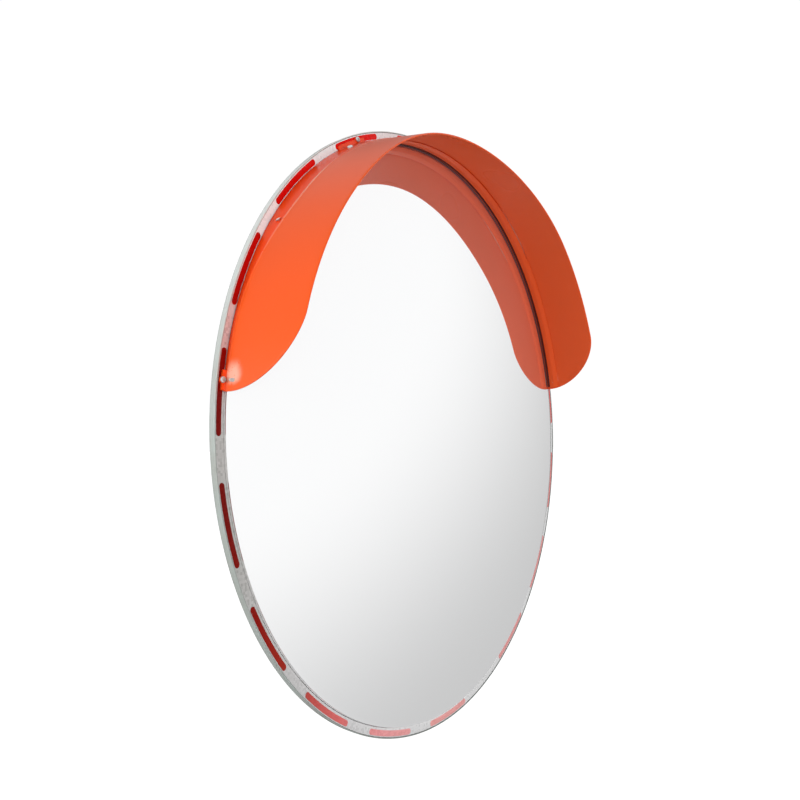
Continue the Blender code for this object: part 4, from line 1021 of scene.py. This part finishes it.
def hood_marks(made):
    """Store on each point how strong its painted highlight is, and how far it is on the root band.

    The painted highlight is a bell of the distance to the crease that fades with the angle, or a soft disc
    round the lowest screws with a torn edge; the band is a smooth step at the crease.
    """
    points = np.empty(len(made.data.vertices) * 3)
    made.data.vertices.foreach_get("co", points)
    points = points.reshape(-1, 3)
    a = np.arctan2(points[:, 0], points[:, 2])
    s = flange_y - points[:, 1]
    degrees = np.abs(np.degrees(a))
    # Painted highlight along the crease, fading with the angle.
    share = np.clip((degrees - 30) / 8, 0, 1) * np.clip((62 - degrees) / 22, 0, 1)
    line = 0.58 * share * np.exp(-(((s - crease_reach(a)) / 0.0010) ** 2))
    # Painted highlight: a soft pale disc round the lowest screws.
    arc_way = (degrees - 79.4) * math.radians(1) * hood_root
    away = np.hypot(np.where(arc_way < 0, arc_way * 0.62, arc_way * 1.2), (s - 0.0125) * 0.95)
    away = away + 0.0004 * np.sin(9 * np.arctan2(arc_way, s - 0.0125)) * np.sin(a * 71)
    screw_highlight = np.clip((0.0130 - away) / 0.0085, 0, 1) * (s > 0.0048)
    screw_highlight = 0.58 * screw_highlight * screw_highlight * (3 - 2 * screw_highlight)
    pale = np.maximum(line, screw_highlight)
    band = 1 / (1 + np.exp(np.clip((s - crease_reach(a)) / 0.0006, -40, 40)))
    for label, values in (("painted_highlight", pale), ("root_band", band)):
        layer = made.data.attributes.new(label, "FLOAT", "POINT")
        layer.data.foreach_set("value", values)


orange_hood = hood_finish()
tab_places = ((22.0, 8.4), (80.0, 3.2))
tabs = [tab_skin(side * math.radians(where), math.radians(span)) for where, span in tab_places
    for side in (-1, 1)]
hood = mesh_piece("hood_sheet", [hood_skin()] + tabs, orange_hood, 40)
hood_marks(hood)
assign(hood, "head", "hood")


# The lip seal is a real strip, but its dark maroon colour is painted shade: the shade along the root inside
# the hood.
seal_rubber_painted_shade = rubber.copy()
seal_rubber_painted_shade.name = "maroon_rubber_painted_shade"
for node in seal_rubber_painted_shade.node_tree.nodes:
    if node.bl_idname == "ShaderNodeMixRGB":
        node.inputs[1].default_value = (0.085, 0.007, 0.003, 1)
        node.inputs[2].default_value = (0.12, 0.014, 0.008, 1)


def lining(near, far, wall, taper, finish, name, node):
    """A strip inside the hood between two reaches: a rounded box carried round under the hood's inside."""
    reach = hood_end - math.radians(0.6)
    a = np.linspace(reach, -reach, 161)[:, None]
    box = rounded([(0, near), (0, far), (-wall + taper, far), (-wall, far - 4 * taper - 0.0006),
        (-wall, near)], 0.0003)
    r = hood_root - 0.0027 - box[None, :, 1] * hood_taper + box[None, :, 0]
    made = mesh_piece(name, [skin(facing(r, a, box[None, :, 1]))], finish)
    assign(made, "head", node)


# The lip seal's dark maroon stands as painted shade at the hood's root.
lining(0.0056, 0.0074, 0.0020, 0.0002, seal_rubber_painted_shade, "hood_lip_seal", "hood_seal")
lining(0.0089, 0.0229, 0.0020, 0.0016, orange, "hood_inner_strip", "hood_root_strip")


# ---------------------------------------------------------------- screws of the hood and the tabs
# Pan head screws with a cross recess, stainless.  Six go through the hood's root into its strip,
# four through the tabs into the rim.
small_head = 0.0036
small_height = 0.0022
small_shank = 0.0020


def cross_head():
    """A domed head with a cross recess: z = dome(r) minus depth where |x| or |y| is under the slot's
    half width and r is inside the recess, the walls sloping."""
    a = np.linspace(0, 2 * np.pi, 48, endpoint=False)
    r = np.concatenate([np.linspace(0.00002, 0.0026, 18), np.linspace(0.0028, small_head, 8)])[:, None]
    x, y = r * np.cos(a), r * np.sin(a)
    slot = np.minimum(np.abs(x), np.abs(y))
    wall = np.clip((0.00062 - slot) / 0.00022, 0, 1) * np.clip((0.0024 - r) / 0.0004, 0, 1)
    dome = small_height * (0.30 + 0.70 * np.sqrt(np.clip(1 - (r / small_head) ** 2.6, 0, 1)))
    top = np.stack([x, y, dome - 0.0012 * wall], -1)
    foot = np.stack([small_head * np.cos(a), small_head * np.sin(a), 0 * a], -1)[None]
    return skin(np.concatenate([top, foot]))


def small_screw(grip):
    """Head and a tapping thread below it."""
    return [cross_head(), threaded_rod(small_shank, 0.0009, 0.0006, -0.0008, -grip, 20)]


def along_radius(a):
    """The outward direction on the rim at an angle from the top."""
    return np.array([math.sin(a), 0.0, math.cos(a)])


screw_number = 0
for where in (25.0, 51.0, 80.0):
    for side in (-1, 1):
        screw_number += 1
        a = side * math.radians(where)
        out = along_radius(a)
        seat = facing(hood_root - 0.0135 * hood_taper + 0.0004, a, 0.0135)
        screw = [put(part, seat, out, (math.cos(a + where), 0.7, -math.sin(a + where)))
            for part in small_screw(0.0042)]
        fasten(f"hood_cross_screw_{screw_number}", screw, "head", f"hood_screw_{screw_number}")
screw_number = 0
for where in (20.0, 80.0):
    for side in (-1, 1):
        screw_number += 1
        a = side * math.radians(where)
        seat = facing(rim_screw_radius, a, 0.0036)
        across = (math.cos(where), 0, math.sin(where))
        screw = [put(part, seat, (0, -1, 0), across) for part in small_screw(0.0124)]
        fasten(f"rim_cross_screw_{screw_number}", screw, "head", f"rim_screw_{screw_number}")


# ---------------------------------------------------------------- floor, light and camera
# A pale floor well below the object, white all round, and a light tent that only reflections
# see: white, falling off softly to grey low down on the right behind.
def stage_finish(name, colour, emission):
    """A plain pale surface for the stage."""
    material, tree, shader = new_finish(name, Roughness=0.9)
    shader.inputs["Base Color"].default_value = (*colour, 1)
    shader.inputs["Emission Color"].default_value = (1, 1, 1, 1)
    seen = add(tree, "ShaderNodeLightPath").outputs["Is Camera Ray"]
    glow = spread(tree, seen, low=0.0, high=emission)
    tree.links.new(glow, shader.inputs["Emission Strength"])
    return material


floor_level = -1.5
corners = [(-30, -30, floor_level), (30, -30, floor_level), (30, 30, floor_level), (-30, 30, floor_level)]
floor_mesh = bpy.data.meshes.new("floor")
floor_mesh.from_pydata(corners, [], [(0, 1, 2, 3)])
floor_mesh.materials.append(stage_finish("pale_floor", (0.35, 0.35, 0.35), 1.0))
floor = bpy.data.objects.new("floor", floor_mesh)
bpy.context.scene.collection.objects.link(floor)

tent_radius = 1.45
grey_way = (0.417, 0.521, -0.745)


def tent_finish():
    """Glow of the tent: a smooth step, in the direction's share along grey_way, from white to grey."""
    material = bpy.data.materials.new("tent_cloth")
    material.use_nodes = True
    tree = material.node_tree
    tree.nodes.clear()
    place = object_place(tree)
    centred = add(tree, "ShaderNodeVectorMath", {0: place, 1: (0, -flange_y, 0)}, operation="ADD")
    along = add(tree, "ShaderNodeVectorMath", {0: centred.outputs[0]}, operation="NORMALIZE")
    share = add(tree, "ShaderNodeVectorMath", {0: along.outputs[0], 1: grey_way}, operation="DOT_PRODUCT")
    level = spread(tree, share.outputs["Value"], start=-0.352, end=0.803, low=0.975, high=0.575, soft=True)
    axis = add(tree, "ShaderNodeSeparateXYZ", {0: along.outputs[0]})
    behind = spread(tree, axis.outputs[1], start=0.2, end=0.5)
    rightwards = spread(tree, axis.outputs[0], start=0.1, end=0.5, high=0.8)
    corner = maths(tree, "MULTIPLY", behind, rightwards)
    below = spread(tree, axis.outputs[2], start=-0.88, end=-0.97, high=0.6)
    darker = maths(tree, "ADD", corner, below)
    kept = maths(tree, "SUBTRACT", 1.0, darker, use_clamp=True)
    shaded = maths(tree, "MULTIPLY", level, kept)
    glow = add(tree, "ShaderNodeEmission", {"Color": (1, 1, 1, 1), "Strength": shaded})
    out = add(tree, "ShaderNodeOutputMaterial", {"Surface": glow.outputs[0]})
    return material


a = np.linspace(0, 2 * np.pi, 64, endpoint=False)[None]
b = np.linspace(0.001, np.pi - 0.001, 33)[:, None]
sphere = np.stack([tent_radius * np.sin(b) * np.cos(a), flange_y + tent_radius * np.sin(b) * np.sin(a),
    tent_radius * np.cos(b) + 0 * a], -1)
tent = mesh_piece("light_tent", [skin(sphere)], tent_finish(), 60)
tent.visible_camera = False
tent.visible_diffuse = False
tent.visible_shadow = False
tent.visible_transmission = False

world = bpy.data.worlds.new("studio")
world.use_nodes = True
background = world.node_tree.nodes["Background"]
background.inputs["Color"].default_value = (1, 1, 1, 1)
background.inputs["Strength"].default_value = 1.0
bpy.context.scene.world = world
ray = world.node_tree.nodes.new("ShaderNodeLightPath")
sky = add(world.node_tree, "ShaderNodeTexCoord").outputs["Generated"]
height = add(world.node_tree, "ShaderNodeSeparateXYZ", {0: sky}).outputs[2]
zenith = spread(world.node_tree, height, start=0.0, end=0.6, low=0.64, high=0.12)
dimmer = add(world.node_tree, "ShaderNodeMix", {"Factor": ray.outputs["Is Diffuse Ray"], "A": 1.02,
    "B": zenith})
world.node_tree.links.new(dimmer.outputs[0], background.inputs["Strength"])


def soft_light(name, where, target, size, power):
    """A square softbox that looks at a target."""
    lamp = bpy.data.lights.new(name, "AREA")
    lamp.size = size
    lamp.energy = power
    holder = bpy.data.objects.new(name, lamp)
    bpy.context.scene.collection.objects.link(holder)
    way = Matrix.Translation(where).to_translation() - Matrix.Translation(target).to_translation()
    holder.matrix_world = Matrix.Translation(where) @ way.to_track_quat("Z", "Y").to_matrix().to_4x4()
    holder.visible_glossy = False
    return holder


soft_light("side_softbox", (-2.4, 0.30, 0.10), (-0.3, flange_y, 0.10), 1.5, 43)
soft_light("front_softbox", (-0.6, -3.2, 0.2), (0, flange_y, 0), 1.6, 51)
soft_light("rear_softbox", (-1.2, 2.8, 0.2), (0, flange_y, 0), 1.6, 30)

camera_data = bpy.data.cameras.new("camera")
camera_data.lens = 45.04
camera_data.sensor_width = 36
camera = bpy.data.objects.new("camera", camera_data)
bpy.context.scene.collection.objects.link(camera)
azimuth, elevation, roll = (math.radians(turn) for turn in (-55.9236, -0.5625, -2.0934))
back = np.array([math.sin(azimuth) * math.cos(elevation), -math.cos(azimuth) * math.cos(elevation),
    math.sin(elevation)])
right = np.cross((0, 0, 1), back)
right /= np.linalg.norm(right)
up = np.cross(back, right)
turned_right = right * math.cos(roll) + up * math.sin(roll)
turned_up = up * math.cos(roll) - right * math.sin(roll)
camera.matrix_world = Matrix([[*row, place] for row,
    place in zip(np.array([turned_right, turned_up, back]).T.tolist(),
    (-1.14341, -0.96113, 0.03028))] + [[0, 0, 0, 1]])
camera_data.clip_start = 0.05
bpy.context.scene.camera = camera
bpy.context.scene.view_settings.view_transform = "Standard"
